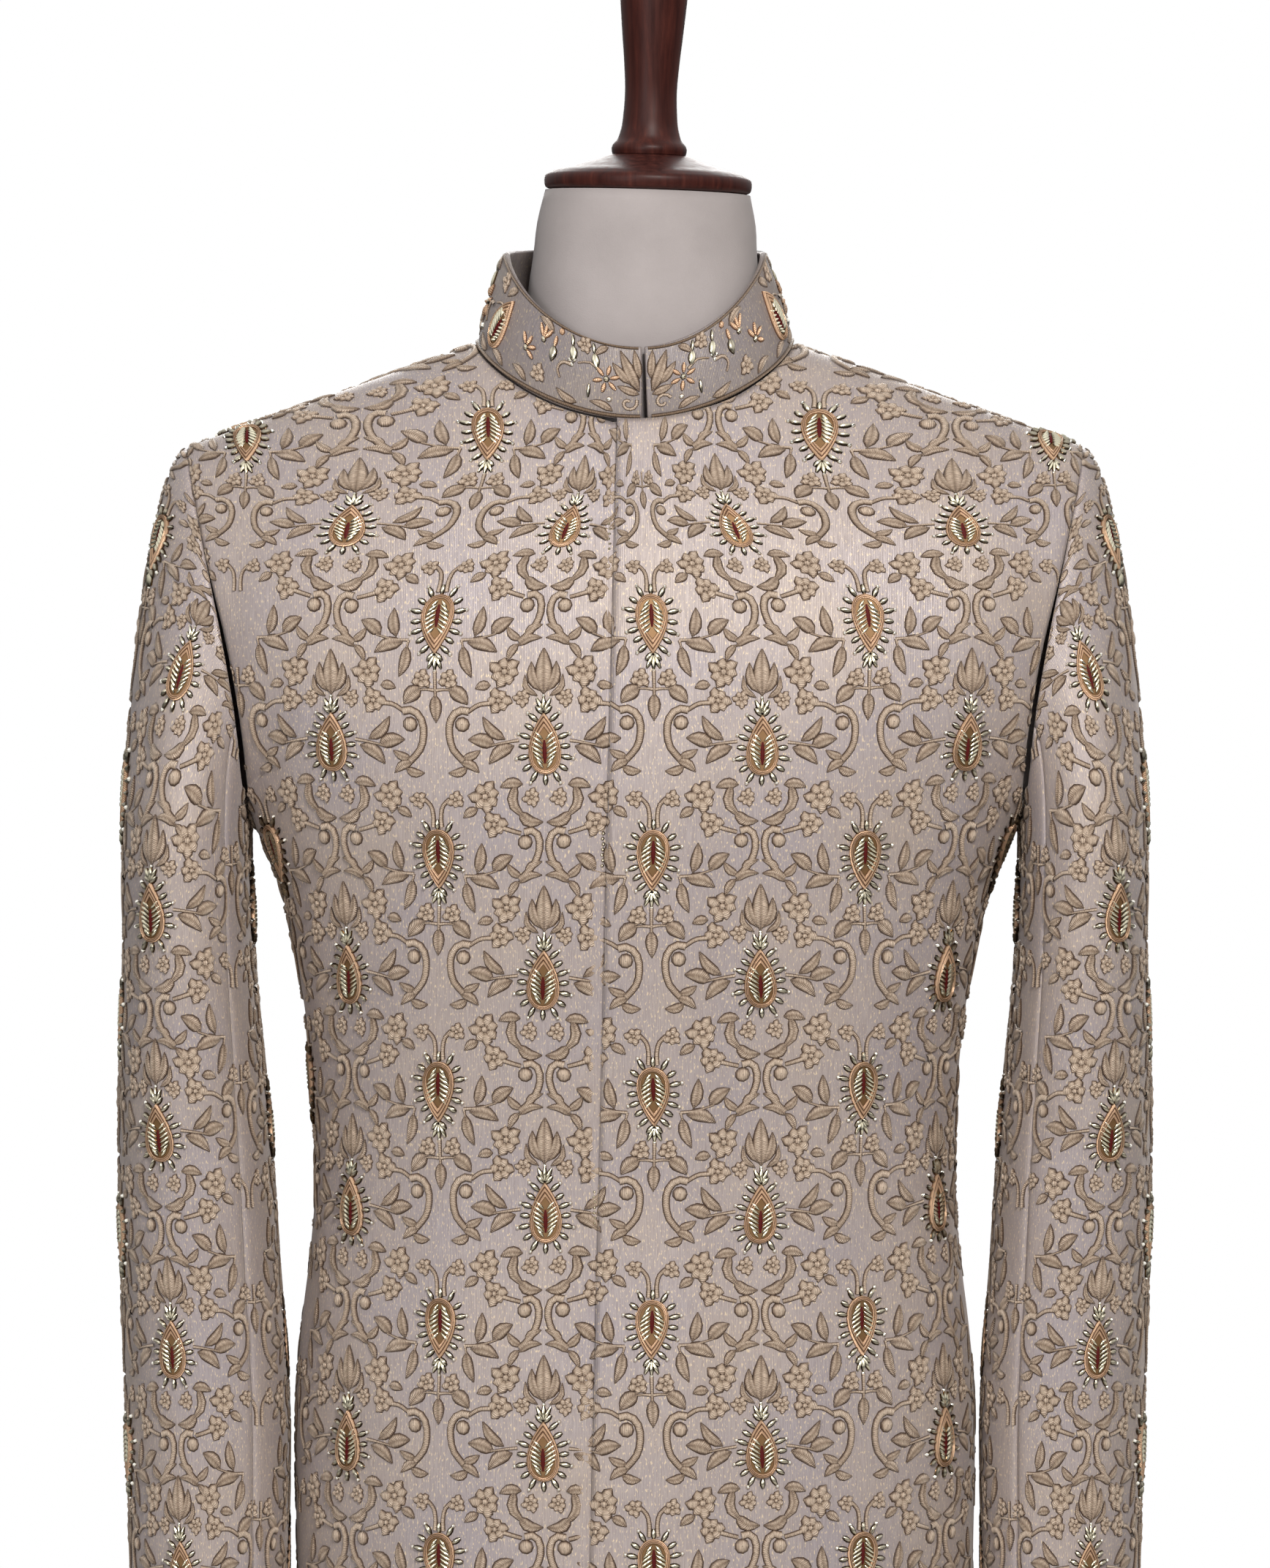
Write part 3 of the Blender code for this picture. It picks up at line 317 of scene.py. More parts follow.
def edge_reading(points, outline):
    """Distance of flat points to a closed outline, below zero outside, and its nearest points.

    Each of the outline's straight runs is tried in turn, and a point is inside where a level
    line from it crosses the outline an odd number of times."""
    best = np.full(len(points), np.inf)
    nearest = np.zeros_like(points)
    inside = np.zeros(len(points), bool)
    for start, end in zip(outline, np.roll(outline, -1, axis=0)):
        run = end - start
        offset = points - start
        along = np.clip(offset @ run / max(run @ run, 1e-14), 0, 1)
        foot = start + along[:, None] * run
        far = np.sum((points - foot) ** 2, axis=1)
        closer = far < best
        best[closer] = far[closer]
        nearest[closer] = foot[closer]
        spans = (start[1] > points[:, 1]) != (end[1] > points[:, 1])
        if run[1]:
            inside ^= spans & (points[:, 0] < start[0] + offset[:, 1] / run[1] * run[0])
    distance = np.sqrt(best)
    return np.where(inside, distance, -distance), nearest


class Cloth:
    """One cut piece of silk: its flat outline, and the map that hangs it.

    A flat place is moved out along the surface by its own height, the lap's lift and the soft
    creases, and in along its edges, where the cloth is turned under."""

    ROLL_DEPTH = 0.0011
    ROLL_WIDTH = 0.0022

    def __init__(self, name, node, surface, outline, relief, hand=1):
        self.name = name
        self.node = node
        self.surface = surface
        self.outline = outline
        self.relief = relief
        self.hand = hand

    def place(self, flat, height=0.0):
        """Points of the hung cloth, and its outward directions."""
        distance, _ = edge_reading(flat, self.outline)
        points, normals = self.surface(flat)
        rolled = self.ROLL_DEPTH * np.exp(-((distance / self.ROLL_WIDTH) ** 2))
        out = self.relief(flat) + height - rolled
        mirror = (self.hand, 1, 1)
        return (points + normals * out[:, None]) * mirror, normals * mirror

    def area(self):
        """Area inside the flat outline, by the shoelace sum."""
        after = np.roll(self.outline, -1, axis=0)
        cross = self.outline[:, 0] * after[:, 1] - self.outline[:, 1] * after[:, 0]
        return abs(cross.sum()) / 2


def creases(flat, rows):
    """Soft troughs in the cloth: each falls off as a bell across its line and along it.

    A row holds the line's middle across and down, its half length, its half width, its lean
    from upright in radians, and its depth. A depth below zero makes a ridge."""
    total = np.zeros(len(flat))
    for s, t, long, wide, lean, deep in rows:
        offset = flat - (s, t)
        along = offset[:, 0] * math.sin(lean) + offset[:, 1] * math.cos(lean)
        aside = offset[:, 0] * math.cos(lean) - offset[:, 1] * math.sin(lean)
        total -= deep * np.exp(-((along / long) ** 2) - (aside / wide) ** 2)
    return total


def read(edge, measure, wanted):
    """Points of an edge where its rising measure has the wanted shares, 0 to 1."""
    share = (measure - measure[0]) / (measure[-1] - measure[0])
    return np.stack([np.interp(wanted, share, column) for column in edge.T], axis=1)


def patch(left, right, top, bottom, across, down):
    """A grid spanned by four edges: rows blended from left to right plus columns blended from top
    to bottom, less the four corners, which both blends hold. The sides are read by their drop,
    the top and bottom by their length."""
    u = across[None, :, None]
    v = down[:, None, None]
    lefts = read(left, left[:, 1], down)[:, None]
    rights = read(right, right[:, 1], down)[:, None]
    tops = read(top, lengths_along(top), across)[None]
    bottoms = read(bottom, lengths_along(bottom), across)[None]
    corners = (1 - v) * ((1 - u) * tops[:, :1] + u * tops[:, -1:])
    corners = corners + v * ((1 - u) * bottoms[:, :1] + u * bottoms[:, -1:])
    return (1 - u) * lefts + u * rights + (1 - v) * tops + v * bottoms - corners


def stations(length, step, first=True, last=True, hem=0.0030):
    """Shares of a length, evenly spread. An end with a turned edge has one more, close row."""
    start = hem * 2.2 if first else 0
    stop = length - (hem * 2.2 if last else 0)
    inner = np.linspace(start, stop, round(length / step))
    ends = [0, hem] if first else [], [length - hem, length] if last else []
    return np.concatenate([ends[0], inner, ends[1]]) / length


def grid_faces(rows, columns):
    """Quads over a grid whose points run along its rows."""
    corner = np.arange(rows * columns).reshape(rows, columns)
    quads = [corner[:-1, :-1], corner[:-1, 1:], corner[1:, 1:], corner[1:, :-1]]
    return np.stack(quads, axis=-1).reshape(-1, 4)


def outward(points, quads, normals):
    """The quads turned so that, taken together, they face along the normals of their corners."""
    diagonals = points[quads[:, 2]] - points[quads[:, 0]], points[quads[:, 3]] - points[quads[:, 1]]
    facing = np.sum(np.cross(*diagonals) * normals[quads[:, 0]])
    return quads if facing > 0 else quads[:, ::-1]


def mesh_object(name, points, quads, materials, finish=None, uv=None, values=None):
    """An object at the origin from points and quads, smooth shaded, with its UV map in metres of
    cloth or thread and its named point values."""
    mesh = bpy.data.meshes.new(name)
    mesh.from_pydata(points.tolist(), [], quads.tolist())
    for material in materials:
        mesh.materials.append(material)
    mesh.shade_smooth()
    if finish is not None:
        mesh.polygons.foreach_set("material_index", finish.astype(np.int32))
    if uv is not None:
        layer = mesh.uv_layers.new(name="cloth")
        layer.data.foreach_set("uv", uv[quads.ravel()].astype(np.float32).ravel())
    for key, data in (values or {}).items():
        mesh.attributes.new(key, "FLOAT", "POINT").data.foreach_set("value", data.astype(np.float32))
    made = bpy.data.objects.new(name, mesh)
    bpy.context.scene.collection.objects.link(made)
    return made


def shader(name, colour, roughness, metallic=0.0, **others):
    """A material whose Principled node has these plain values. Returns it, its tree and node."""
    made = bpy.data.materials.new(name)
    made.use_nodes = True
    principled = made.node_tree.nodes["Principled BSDF"]
    principled.inputs["Base Color"].default_value = (*colour, 1)
    principled.inputs["Roughness"].default_value = roughness
    principled.inputs["Metallic"].default_value = metallic
    for key, value in others.items():
        principled.inputs[key.replace("_", " ")].default_value = value
    return made, made.node_tree, principled


def node(tree, kind, inputs=(), **settings):
    """A shader node with its settings, and its inputs as plain values or links."""
    made = tree.nodes.new("ShaderNode" + kind)
    for key, value in settings.items():
        setattr(made, key, value)
    for key, value in dict(inputs).items():
        if isinstance(value, bpy.types.NodeSocket):
            tree.links.new(value, made.inputs[key])
        else:
            made.inputs[key].default_value = value
    return made


def ramp(tree, factor, stops):
    """A colour ramp over a factor, from (place, colour) stops."""
    made = node(tree, "ValToRGB", {"Fac": factor})
    while len(made.color_ramp.elements) < len(stops):
        made.color_ramp.elements.new(0.5)
    for element, (place, colour) in zip(made.color_ramp.elements, stops):
        element.position = place
        element.color = (*colour, 1)
    return made.outputs["Color"]


def mixed(tree, factor, first, second, blend="MIX"):
    """Two colours mixed by a factor."""
    made = node(tree, "Mix", {}, data_type="RGBA", blend_type=blend)
    for socket, value in ((0, factor), (6, first), (7, second)):
        if isinstance(value, bpy.types.NodeSocket):
            tree.links.new(value, made.inputs[socket])
        elif socket == 0:
            made.inputs[socket].default_value = value
        else:
            made.inputs[socket].default_value = (*value, 1)
    return made.outputs[2]


def thread_weave():
    """A node group for woven and stitched threads: noise drawn out along the threads gives their
    streaks, a wave across them gives their round backs. It takes a map in metres, the streak's
    width and length and the thread's pitch, and puts out a streak mask and a height."""
    group = bpy.data.node_groups.new("threads", "ShaderNodeTree")
    for name, kind in (
        ("Map", "NodeSocketVector"),
        ("Streak Width", "NodeSocketFloat"),
        ("Streak Length", "NodeSocketFloat"),
        ("Pitch", "NodeSocketFloat"),
    ):
        group.interface.new_socket(name, in_out="INPUT", socket_type=kind)
    for name in ("Streaks", "Height"):
        group.interface.new_socket(name, in_out="OUTPUT", socket_type="NodeSocketFloat")
    entry = group.nodes.new("NodeGroupInput")
    leave = group.nodes.new("NodeGroupOutput")
    split = node(group, "SeparateXYZ", {"Vector": entry.outputs["Map"]})
    wide = node(group, "Math", {0: split.outputs["X"], 1: entry.outputs["Streak Width"]}, operation="DIVIDE")
    long = node(group, "Math", {0: split.outputs["Y"], 1: entry.outputs["Streak Length"]}, operation="DIVIDE")
    drawn = node(group, "CombineXYZ", {"X": wide.outputs[0], "Y": long.outputs[0]})
    streaks = node(group, "TexNoise", {"Vector": drawn.outputs[0], "Scale": 1.0, "Detail": 3.0})
    turns = node(group, "Math", {0: split.outputs["X"], 1: entry.outputs["Pitch"]}, operation="DIVIDE")
    angle = node(group, "Math", {0: turns.outputs[0], 1: 2 * math.pi}, operation="MULTIPLY")
    wave = node(group, "Math", {0: angle.outputs[0]}, operation="SINE")
    backs = {0: wave.outputs[0], 1: 0.5, 2: streaks.outputs["Fac"]}
    height = node(group, "Math", backs, operation="MULTIPLY_ADD")
    group.links.new(streaks.outputs["Fac"], leave.inputs["Streaks"])
    group.links.new(height.outputs[0], leave.inputs["Height"])
    return group


THREADS = thread_weave()


def threads(tree, streak_width, streak_length, pitch):
    """A cloth map and the thread group on it, as nodes of a material. All sizes are in metres."""
    cloth = node(tree, "UVMap", uv_map="cloth").outputs["UV"]
    group = tree.nodes.new("ShaderNodeGroup")
    group.node_tree = THREADS
    tree.links.new(cloth, group.inputs["Map"])
    for key, value in (("Streak Width", streak_width), ("Streak Length", streak_length), ("Pitch", pitch)):
        group.inputs[key].default_value = value
    return cloth, group


def make_silk(name, depth=1.0):
    """Silver-lilac silk: upright slubs lighten and darken it, and gold filament glints in it. A depth under 1
    darkens all its colours as painted shade and weakens its sheen."""
    made, tree, principled = shader(
        name, (0.5, 0.4, 0.38), 0.46, 0.12, Sheen_Weight=0.25 * depth, Sheen_Roughness=0.4,
        Sheen_Tint=(0.95, 0.88, 0.84, 1),
    )
    cloth, weave = threads(tree, 0.00055, 0.010, 0.0009)
    ground = ramp(
        tree, weave.outputs["Streaks"],
        ((0.25, (0.346, 0.294, 0.288)), (0.5, (0.418, 0.361, 0.355)), (0.78, (0.514, 0.449, 0.433))),
    )
    broad = node(tree, "TexNoise", {"Vector": cloth, "Scale": 16.0, "Detail": 3.0})
    # The depth darkens the cool and warm casts and the gold filament alike, as painted shade.
    cool = tuple(depth * part for part in (0.93, 0.93, 0.97))
    warm = tuple(depth * part for part in (1.04, 1.00, 0.93))
    cast = ramp(tree, broad.outputs["Fac"], ((0.35, cool), (0.65, warm)))
    ground = mixed(tree, 1.0, ground, cast, "MULTIPLY")
    filament = node(tree, "Mapping", {"Vector": cloth, "Scale": (1150.0, 430.0, 1.0)})
    glints = node(tree, "TexNoise", {"Vector": filament.outputs[0], "Scale": 1.0, "Detail": 1.0})
    glint = node(tree, "MapRange", {0: glints.outputs["Fac"], 1: 0.60, 2: 0.70})
    ground = mixed(tree, glint.outputs[0], ground, tuple(depth * part for part in (0.74, 0.60, 0.43)))
    tree.links.new(ground, principled.inputs["Base Color"])
    rough = node(tree, "MapRange", {0: weave.outputs["Streaks"], 1: 0.2, 2: 0.8, 3: 0.55, 4: 0.38})
    tree.links.new(rough.outputs[0], principled.inputs["Roughness"])
    bump = node(tree, "Bump", {"Height": weave.outputs["Height"], "Strength": 0.35, "Distance": 0.0002})
    tree.links.new(bump.outputs[0], principled.inputs["Normal"])
    return made


SILK = make_silk("silver silk")
# The collar's silk is the same silk darkened to 0.60 throughout: painted shade for a band that leans back
# from the light.
PAINTED_SHADE_COLLAR_SILK = make_silk("silver silk with painted shade", 0.60)


# The coat's body: two fronts and two backs of silk, cut long and sewn at the shoulders and sides.
# The wearer's left front laps over the right and its edge hangs free, closed by a hidden fly.
# The centre back is a plain seam, and the side seams open below the hip as slits.
OVER_EDGE_NECK_X = -0.009
OVER_EDGE_DRIFT = 0.024
UNDER_EDGE_X = 0.020
LAP_LIFT = 0.0029
LAP_FADE = (0.024, 0.055)
GROOVE_OFF = 0.0030
GROOVE_WIDTH = 0.0040
GROOVE_DEPTH = 0.0026
SLIT_TOP_Z = 0.800
SLIT_HALF_GAP = 0.005
SEAM_HALF_GAP = 0.00015
CLOTH_STEP = 0.0072
DIVIDER_LEAN = 0.030
DIVIDER_BEND = 0.060
ARMHOLE_ROWS = np.array(
    # height, distance of the armhole seam from the middle
    [(1.245, 0.2000), (1.290, 0.2035), (1.335, 0.2110), (1.382, 0.2210), (1.436, 0.2325)]
)

FRONT_CREASES = (
    # across, down, half length, half width, lean, depth, all on the wearer's left
    (0.218, 0.010, 0.060, 0.013, 0.10, 0.0022),
    (0.196, 0.050, 0.075, 0.015, 0.24, 0.0016),
    (0.176, -0.010, 0.060, 0.018, 0.05, -0.0012),
    (0.165, 0.215, 0.085, 0.020, 0.30, 0.0014),
    (0.120, 0.330, 0.110, 0.022, -0.12, 0.0012),
    (0.205, 0.330, 0.070, 0.016, -0.25, 0.0013),
    (0.075, 0.120, 0.120, 0.030, 0.10, 0.0010),
    (0.110, 0.640, 0.170, 0.026, 0.05, 0.0018),
    (0.215, 0.690, 0.140, 0.024, -0.04, 0.0020),
)
BACK_CREASES = (
    (0.205, 0.000, 0.070, 0.015, -0.15, 0.0020),
    (0.178, 0.060, 0.090, 0.018, -0.25, 0.0015),
    (0.120, 0.240, 0.080, 0.022, 0.55, 0.0013),
    (0.060, 0.280, 0.090, 0.024, 0.70, 0.0012),
    (0.150, 0.380, 0.100, 0.020, 0.20, 0.0014),
    (0.095, 0.650, 0.180, 0.026, 0.03, 0.0020),
    (0.210, 0.640, 0.150, 0.024, -0.05, 0.0018),
)


def neckline(side):
    """The neck edge as x and z from the centre line to the shoulder: a power of the cosine."""
    turn = np.linspace(0, math.pi / 2, 25)
    x = NECK_WIDTH / 2 * np.sin(turn)
    if side is FRONT:
        z = NECK_SIDE_Z - 0.040 * np.cos(turn) ** 1.5
    else:
        z = NECK_SIDE_Z + 0.010 * np.cos(turn) ** 2.6
    return x, np.minimum(z, ridge_z(x))


def front_edge(t):
    """The lapping edge drifts across the centre toward the hem."""
    return OVER_EDGE_NECK_X - OVER_EDGE_DRIFT * np.clip((t + 0.12) / 1.03, 0, 1)


def body_edges(side, centre_edge):
    """A body piece's flat edges on the wearer's left, each from the top or the centre: the centre
    edge, a line down from the side of the neck, the side, the neckline, the shoulder and the hem
    on both sides of the line."""
    neck = np.array([side.flat(x, z) for x, z in zip(*neckline(side))])
    start = centre_edge(neck[0, 1])
    start_t = np.interp(abs(start), neck[:, 0], neck[:, 1])
    kept = neck[neck[:, 0] > max(start, 0) + 0.002]
    if start < 0:
        mirrored = neck[::-1] * (-1, 1)
        kept = np.concatenate([mirrored[mirrored[:, 0] > start + 0.002], kept])
    neck = np.concatenate([[(start, start_t)], kept])
    shoulder_x = np.linspace(NECK_WIDTH / 2, SHOULDER_TIP_X, 25)
    shoulder = np.array([side.flat(x, ridge_z(x)) for x in shoulder_x])
    shoulder[0] = neck[-1]
    hem_t = CHEST_Z - HEM_Z
    down = np.linspace(start_t, hem_t, 60)
    centre = np.stack([centre_edge(down), down], axis=1)
    hole_z = np.linspace(SHOULDER_TIP_Z, ARMPIT_Z, 31)
    hole_x = smooth(hole_z, ARMHOLE_ROWS[:, 0], ARMHOLE_ROWS[:, 1])
    armhole = np.array([side.flat(x, z) for x, z in zip(hole_x, hole_z)])
    seam_z = np.linspace(ARMPIT_Z, HEM_Z, 90)[1:]
    slit = SLIT_HALF_GAP * np.clip((SLIT_TOP_Z - seam_z) / (SLIT_TOP_Z - HEM_Z), 0, 1)
    seam = np.stack([side.girth(seam_z) - SEAM_HALF_GAP - slit, CHEST_Z - seam_z], axis=1)
    side_line = np.concatenate([armhole, seam])
    drop = np.linspace(neck[-1, 1], hem_t, 120)
    leaning = neck[-1, 0] + DIVIDER_LEAN * (1 - np.exp(-(drop - drop[0]) / DIVIDER_BEND))
    divider = np.stack([leaning, drop], axis=1)
    inner_hem = np.stack([centre[-1], divider[-1]])
    outer_hem = np.stack([divider[-1], side_line[-1]])
    return centre, divider, side_line, neck, shoulder, inner_hem, outer_hem


def hang(cloth, grid):
    """Makes a cut piece of cloth as a thin shell, and reckons its flat area, which is not kept."""
    rows, columns = grid.shape[:2]
    flat = grid.reshape(-1, 2)
    points, normals = cloth.place(flat)
    quads = outward(points, grid_faces(rows, columns), normals)
    made = mesh_object(cloth.name, points, quads, [SILK], uv=flat)
    shell = made.modifiers.new("cloth", "SOLIDIFY")
    shell.thickness = CLOTH
    shell.offset = -1
    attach(made, "root")
    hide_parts(cloth.node)
    float(cloth.area())
    return made


def body_surface(side):
    """The hanging map of a front or a back, as a function of flat places."""
    return lambda flat: (side.points(*flat.T), side.normals(*flat.T))


def mirrored_rows(rows):
    """The same creases on the wearer's right."""
    return [(-s, t, long, wide, -lean, deep) for s, t, long, wide, lean, deep in rows]


def over_relief(flat):
    """Creases of the lapping front, and the lift that carries it over the other one."""
    lap = LAP_LIFT * (1 - fade(flat[:, 0], *LAP_FADE))
    return creases(flat, FRONT_CREASES) + lap


def under_relief(flat):
    """Creases of the front that lies under, and a soft groove beside the lapping edge."""
    beside = flat[:, 0] - front_edge(flat[:, 1]) + GROOVE_OFF
    groove = GROOVE_DEPTH * np.exp(-((beside / GROOVE_WIDTH) ** 2))
    return creases(flat, mirrored_rows(FRONT_CREASES)) - groove


body_cloths = []
for name, side, edge, relief, hand in (
    ("left_front", FRONT, front_edge, over_relief, 1),
    ("right_front", FRONT, lambda t: -UNDER_EDGE_X + 0 * t, under_relief, -1),
    ("left_back", BACK, lambda t: SEAM_HALF_GAP + 0 * t, lambda flat: creases(flat, BACK_CREASES), 1),
    ("right_back", BACK, lambda t: SEAM_HALF_GAP + 0 * t,
     lambda flat: creases(flat, mirrored_rows(BACK_CREASES)), -1),
):
    edges = [part * (hand, 1) for part in body_edges(side, edge)]
    centre, divider, side_line, neck, shoulder, inner_hem, outer_hem = edges
    outline = np.concatenate([neck, shoulder[1:], side_line[1:], inner_hem[:1], centre[::-1][1:-1]])
    word, place = name.split("_")
    cloth = Cloth(name, f"{place}_{word}", body_surface(side), outline, relief)
    down = stations(np.ptp(side_line[:, 1]), CLOTH_STEP)
    inner = stations(abs(np.ptp(inner_hem[:, 0])), CLOTH_STEP, last=False)
    outer = stations(abs(np.ptp(outer_hem[:, 0])), CLOTH_STEP, first=False)
    near = patch(centre, divider, neck, inner_hem, inner, down)
    far = patch(divider, side_line, shoulder, outer_hem, outer, down)
    hang(cloth, np.concatenate([near, far[:, 1:]], axis=1))
    body_cloths.append((cloth, side))


# The sleeves: each is cut in two, a wide top piece and a narrow one under the arm, and set into
# the armhole. They hang empty beside the body, bent a little forward at the elbow.
SLEEVE_ROWS = np.array(
    # height, outer edge, inner edge, half depth, forward swing
    [
        (0.812, 0.2595, 0.1800, 0.0480, 0.0250),
        (0.859, 0.2610, 0.1798, 0.0500, 0.0210),
        (0.946, 0.2640, 0.1798, 0.0550, 0.0140),
        (1.013, 0.2666, 0.1848, 0.0600, 0.0090),
        (1.063, 0.2680, 0.1885, 0.0660, 0.0060),
        (1.123, 0.2675, 0.1940, 0.0720, 0.0040),
        (1.159, 0.2660, 0.1975, 0.0765, 0.0030),
        (1.216, 0.2655, 0.2000, 0.0800, 0.0020),
    ]
)
SLEEVE_Z, SLEEVE_OUTER, SLEEVE_INNER, SLEEVE_DEPTH, SLEEVE_SWING = SLEEVE_ROWS.T
CUFF_Z = SLEEVE_Z[0]
UPPER_ARM_Z = SLEEVE_Z[-1]
SLEEVE_SEAM = 0.68


def armhole_loop():
    """The armhole's points, with a share that runs over the front from 0 at the shoulder to 1
    under the arm, and over the back to -1."""
    share = np.linspace(0, 1, 15)
    z = SHOULDER_TIP_Z - (SHOULDER_TIP_Z - ARMPIT_Z) * (1 - np.cos(math.pi * share)) / 2
    x = smooth(z, ARMHOLE_ROWS[:, 0], ARMHOLE_ROWS[:, 1])
    halves = []
    for side in (FRONT, BACK):
        half = side.place(x, z)
        half[[0, -1], 1] = 0
        halves.append((half, lengths_along(half) / lengths_along(half)[-1]))
    (front, front_share), (back, back_share) = halves
    shares = np.concatenate([-back_share[:0:-1], front_share])
    return shares, np.concatenate([back[:0:-1], front])


class Sleeve:
    """A sleeve on the wearer's left as a map from the flat cloth.

    Across, a share from 0 on the outer line runs over the front to 1 at the inner line. Down, t
    starts at the top of the sleeve's head. Below the upper arm the tube is an oval ring at each
    height, and above it a cubic blend leads each share from the armhole to the first ring."""

    COLUMNS = 241
    ROWS = 81
    OVAL = 2.25

    def __init__(self):
        self.shares = np.linspace(-1, 1, self.COLUMNS)
        self.heights = np.linspace(UPPER_ARM_Z, CUFF_Z, 136)
        self.tube = np.stack([self.ring(z) for z in self.heights])
        self.half_girth = lengths_along(self.tube)[0, -1] / 2
        self.head = self.head_rows()
        self.head_lengths = lengths_along(np.swapaxes(self.head, 0, 1))[:, -1]
        self.head_drop = self.head_lengths.max()
        self.length = self.head_drop + UPPER_ARM_Z - CUFF_Z

    def ring(self, z):
        """A level oval, from the inner line over the back to the outer line and on over the front."""
        outer = smooth(z, SLEEVE_Z, SLEEVE_OUTER)
        inner = smooth(z, SLEEVE_Z, SLEEVE_INNER)
        deep = smooth(z, SLEEVE_Z, SLEEVE_DEPTH)
        turn = np.linspace(-math.pi, math.pi, 1201)
        across = np.sign(np.cos(turn)) * np.abs(np.cos(turn)) ** (2 / self.OVAL)
        along = -np.sign(np.sin(turn)) * np.abs(np.sin(turn)) ** (2 / self.OVAL)
        x = (outer + inner) / 2 + across * (outer - inner) / 2
        y = along * deep - smooth(z, SLEEVE_Z, SLEEVE_SWING)
        ring = np.stack([x, y, 0 * x + z], axis=1)
        back = spaced(ring[:601], self.COLUMNS // 2 + 1)
        front = spaced(ring[600:], self.COLUMNS // 2 + 1)
        return np.concatenate([back[:-1], front])

    def head_rows(self):
        """The cubic blend: it leaves the armhole outward on top and downward under the arm."""
        shares, loop = armhole_loop()
        start = np.stack([np.interp(self.shares, shares, column) for column in loop.T], axis=1)
        end = self.tube[0]
        far = np.linalg.norm(end - start, axis=1, keepdims=True)
        under = fade(np.abs(self.shares), 0.45, 1.0)
        away = np.stack([0.95 - 0.80 * under, 0 * under, -0.65 - 0.35 * under], axis=1)
        leave = unit(away) * far * 0.34
        arrive = np.array([0, 0, -1.0]) * far * 0.90
        u = np.linspace(0, 1, self.ROWS)[:, None, None]
        return (
            (1 + 2 * u) * (1 - u) ** 2 * start
            + u * (1 - u) ** 2 * leave
            + u**2 * (3 - 2 * u) * end
            - u**2 * (1 - u) * arrive
        )

    def points(self, share, t):
        """Where the places of the flat sleeve hang."""
        share = (share + 1) % 2 - 1
        column = (share + 1) / 2 * (self.COLUMNS - 1)
        depth = self.head_drop - t
        row = -depth / (UPPER_ARM_Z - CUFF_Z) * (len(self.heights) - 1)
        low = between(self.tube, row, column)
        length = np.interp(share, self.shares, self.head_lengths)
        high = between(self.head, (1 - depth / length) * (self.ROWS - 1), column)
        return np.where((depth > 0)[:, None], high, low)

    def surface(self, flat):
        """Points and outward directions of flat places, in metres across from the outer line."""
        share = flat[:, 0] / self.half_girth
        turn = 0.003 / self.half_girth
        along = self.points(share + turn, flat[:, 1]) - self.points(share - turn, flat[:, 1])
        down = self.points(share, flat[:, 1] + 0.003) - self.points(share, flat[:, 1] - 0.003)
        return self.points(share, flat[:, 1]), unit(np.cross(along, down))

    def top_edge(self, share):
        """The bell of the sleeve's head, as t by share."""
        return self.head_drop - np.interp((share + 1) % 2 - 1, self.shares, self.head_lengths)


SLEEVE = Sleeve()
SLEEVE_CREASES = (
    # across from the outer line, down from the head's top, half length, half width, lean, depth
    (0.055, 0.170, 0.060, 0.014, 0.20, 0.0016),
    (0.095, 0.240, 0.050, 0.012, -0.55, 0.0016),
    (0.060, 0.330, 0.060, 0.014, -0.75, 0.0018),
    (0.085, 0.375, 0.055, 0.012, -0.95, 0.0016),
    (0.020, 0.300, 0.090, 0.018, 0.10, 0.0012),
    (0.040, 0.480, 0.090, 0.016, 0.12, 0.0014),
    (-0.045, 0.200, 0.080, 0.016, -0.15, 0.0014),
    (-0.070, 0.350, 0.060, 0.014, 0.60, 0.0016),
    (-0.040, 0.470, 0.090, 0.018, -0.08, 0.0014),
)

sleeve_cloths = []
for word, hand in (("left", 1), ("right", -1)):
    for part, low, high in (("top", -SLEEVE_SEAM, SLEEVE_SEAM), ("under", SLEEVE_SEAM, 2 - SLEEVE_SEAM)):
        gap = SEAM_HALF_GAP / SLEEVE.half_girth
        head_share = np.linspace(low + gap, high - gap, 61)
        head = np.stack([head_share * SLEEVE.half_girth, SLEEVE.top_edge(head_share)], axis=1)
        drops = [np.linspace(end[1], SLEEVE.length, 40) for end in (head[0], head[-1])]
        left_seam = np.stack([0 * drops[0] + head[0, 0], drops[0]], axis=1)
        right_seam = np.stack([0 * drops[1] + head[-1, 0], drops[1]], axis=1)
        cuff = np.stack([left_seam[-1], right_seam[-1]])
        outline = np.concatenate([head, right_seam[1:], cuff[:1], left_seam[::-1][1:-1]])
        cloth = Cloth(
            f"{word}_sleeve_{part}", f"sleeve_{word}_{part}", SLEEVE.surface, outline,
            lambda flat: creases(flat, SLEEVE_CREASES), hand,
        )
        across = stations(np.ptp(cuff[:, 0]), CLOTH_STEP)
        down = stations(np.ptp(right_seam[:, 1]), CLOTH_STEP)
        hang(cloth, patch(left_seam, right_seam, head, cuff, across, down))
        sleeve_cloths.append(cloth)


# The thread embroidery: leaves, stems, scrolls and little flowers in padded satin stitch, worked
# in taupe silk before the coat was cut. Two arrangements alternate in a half-drop lattice, one
# round a medallion that points down, the other round one that points up. All sizes are in mm.
THREAD, EDGING = 0, 1


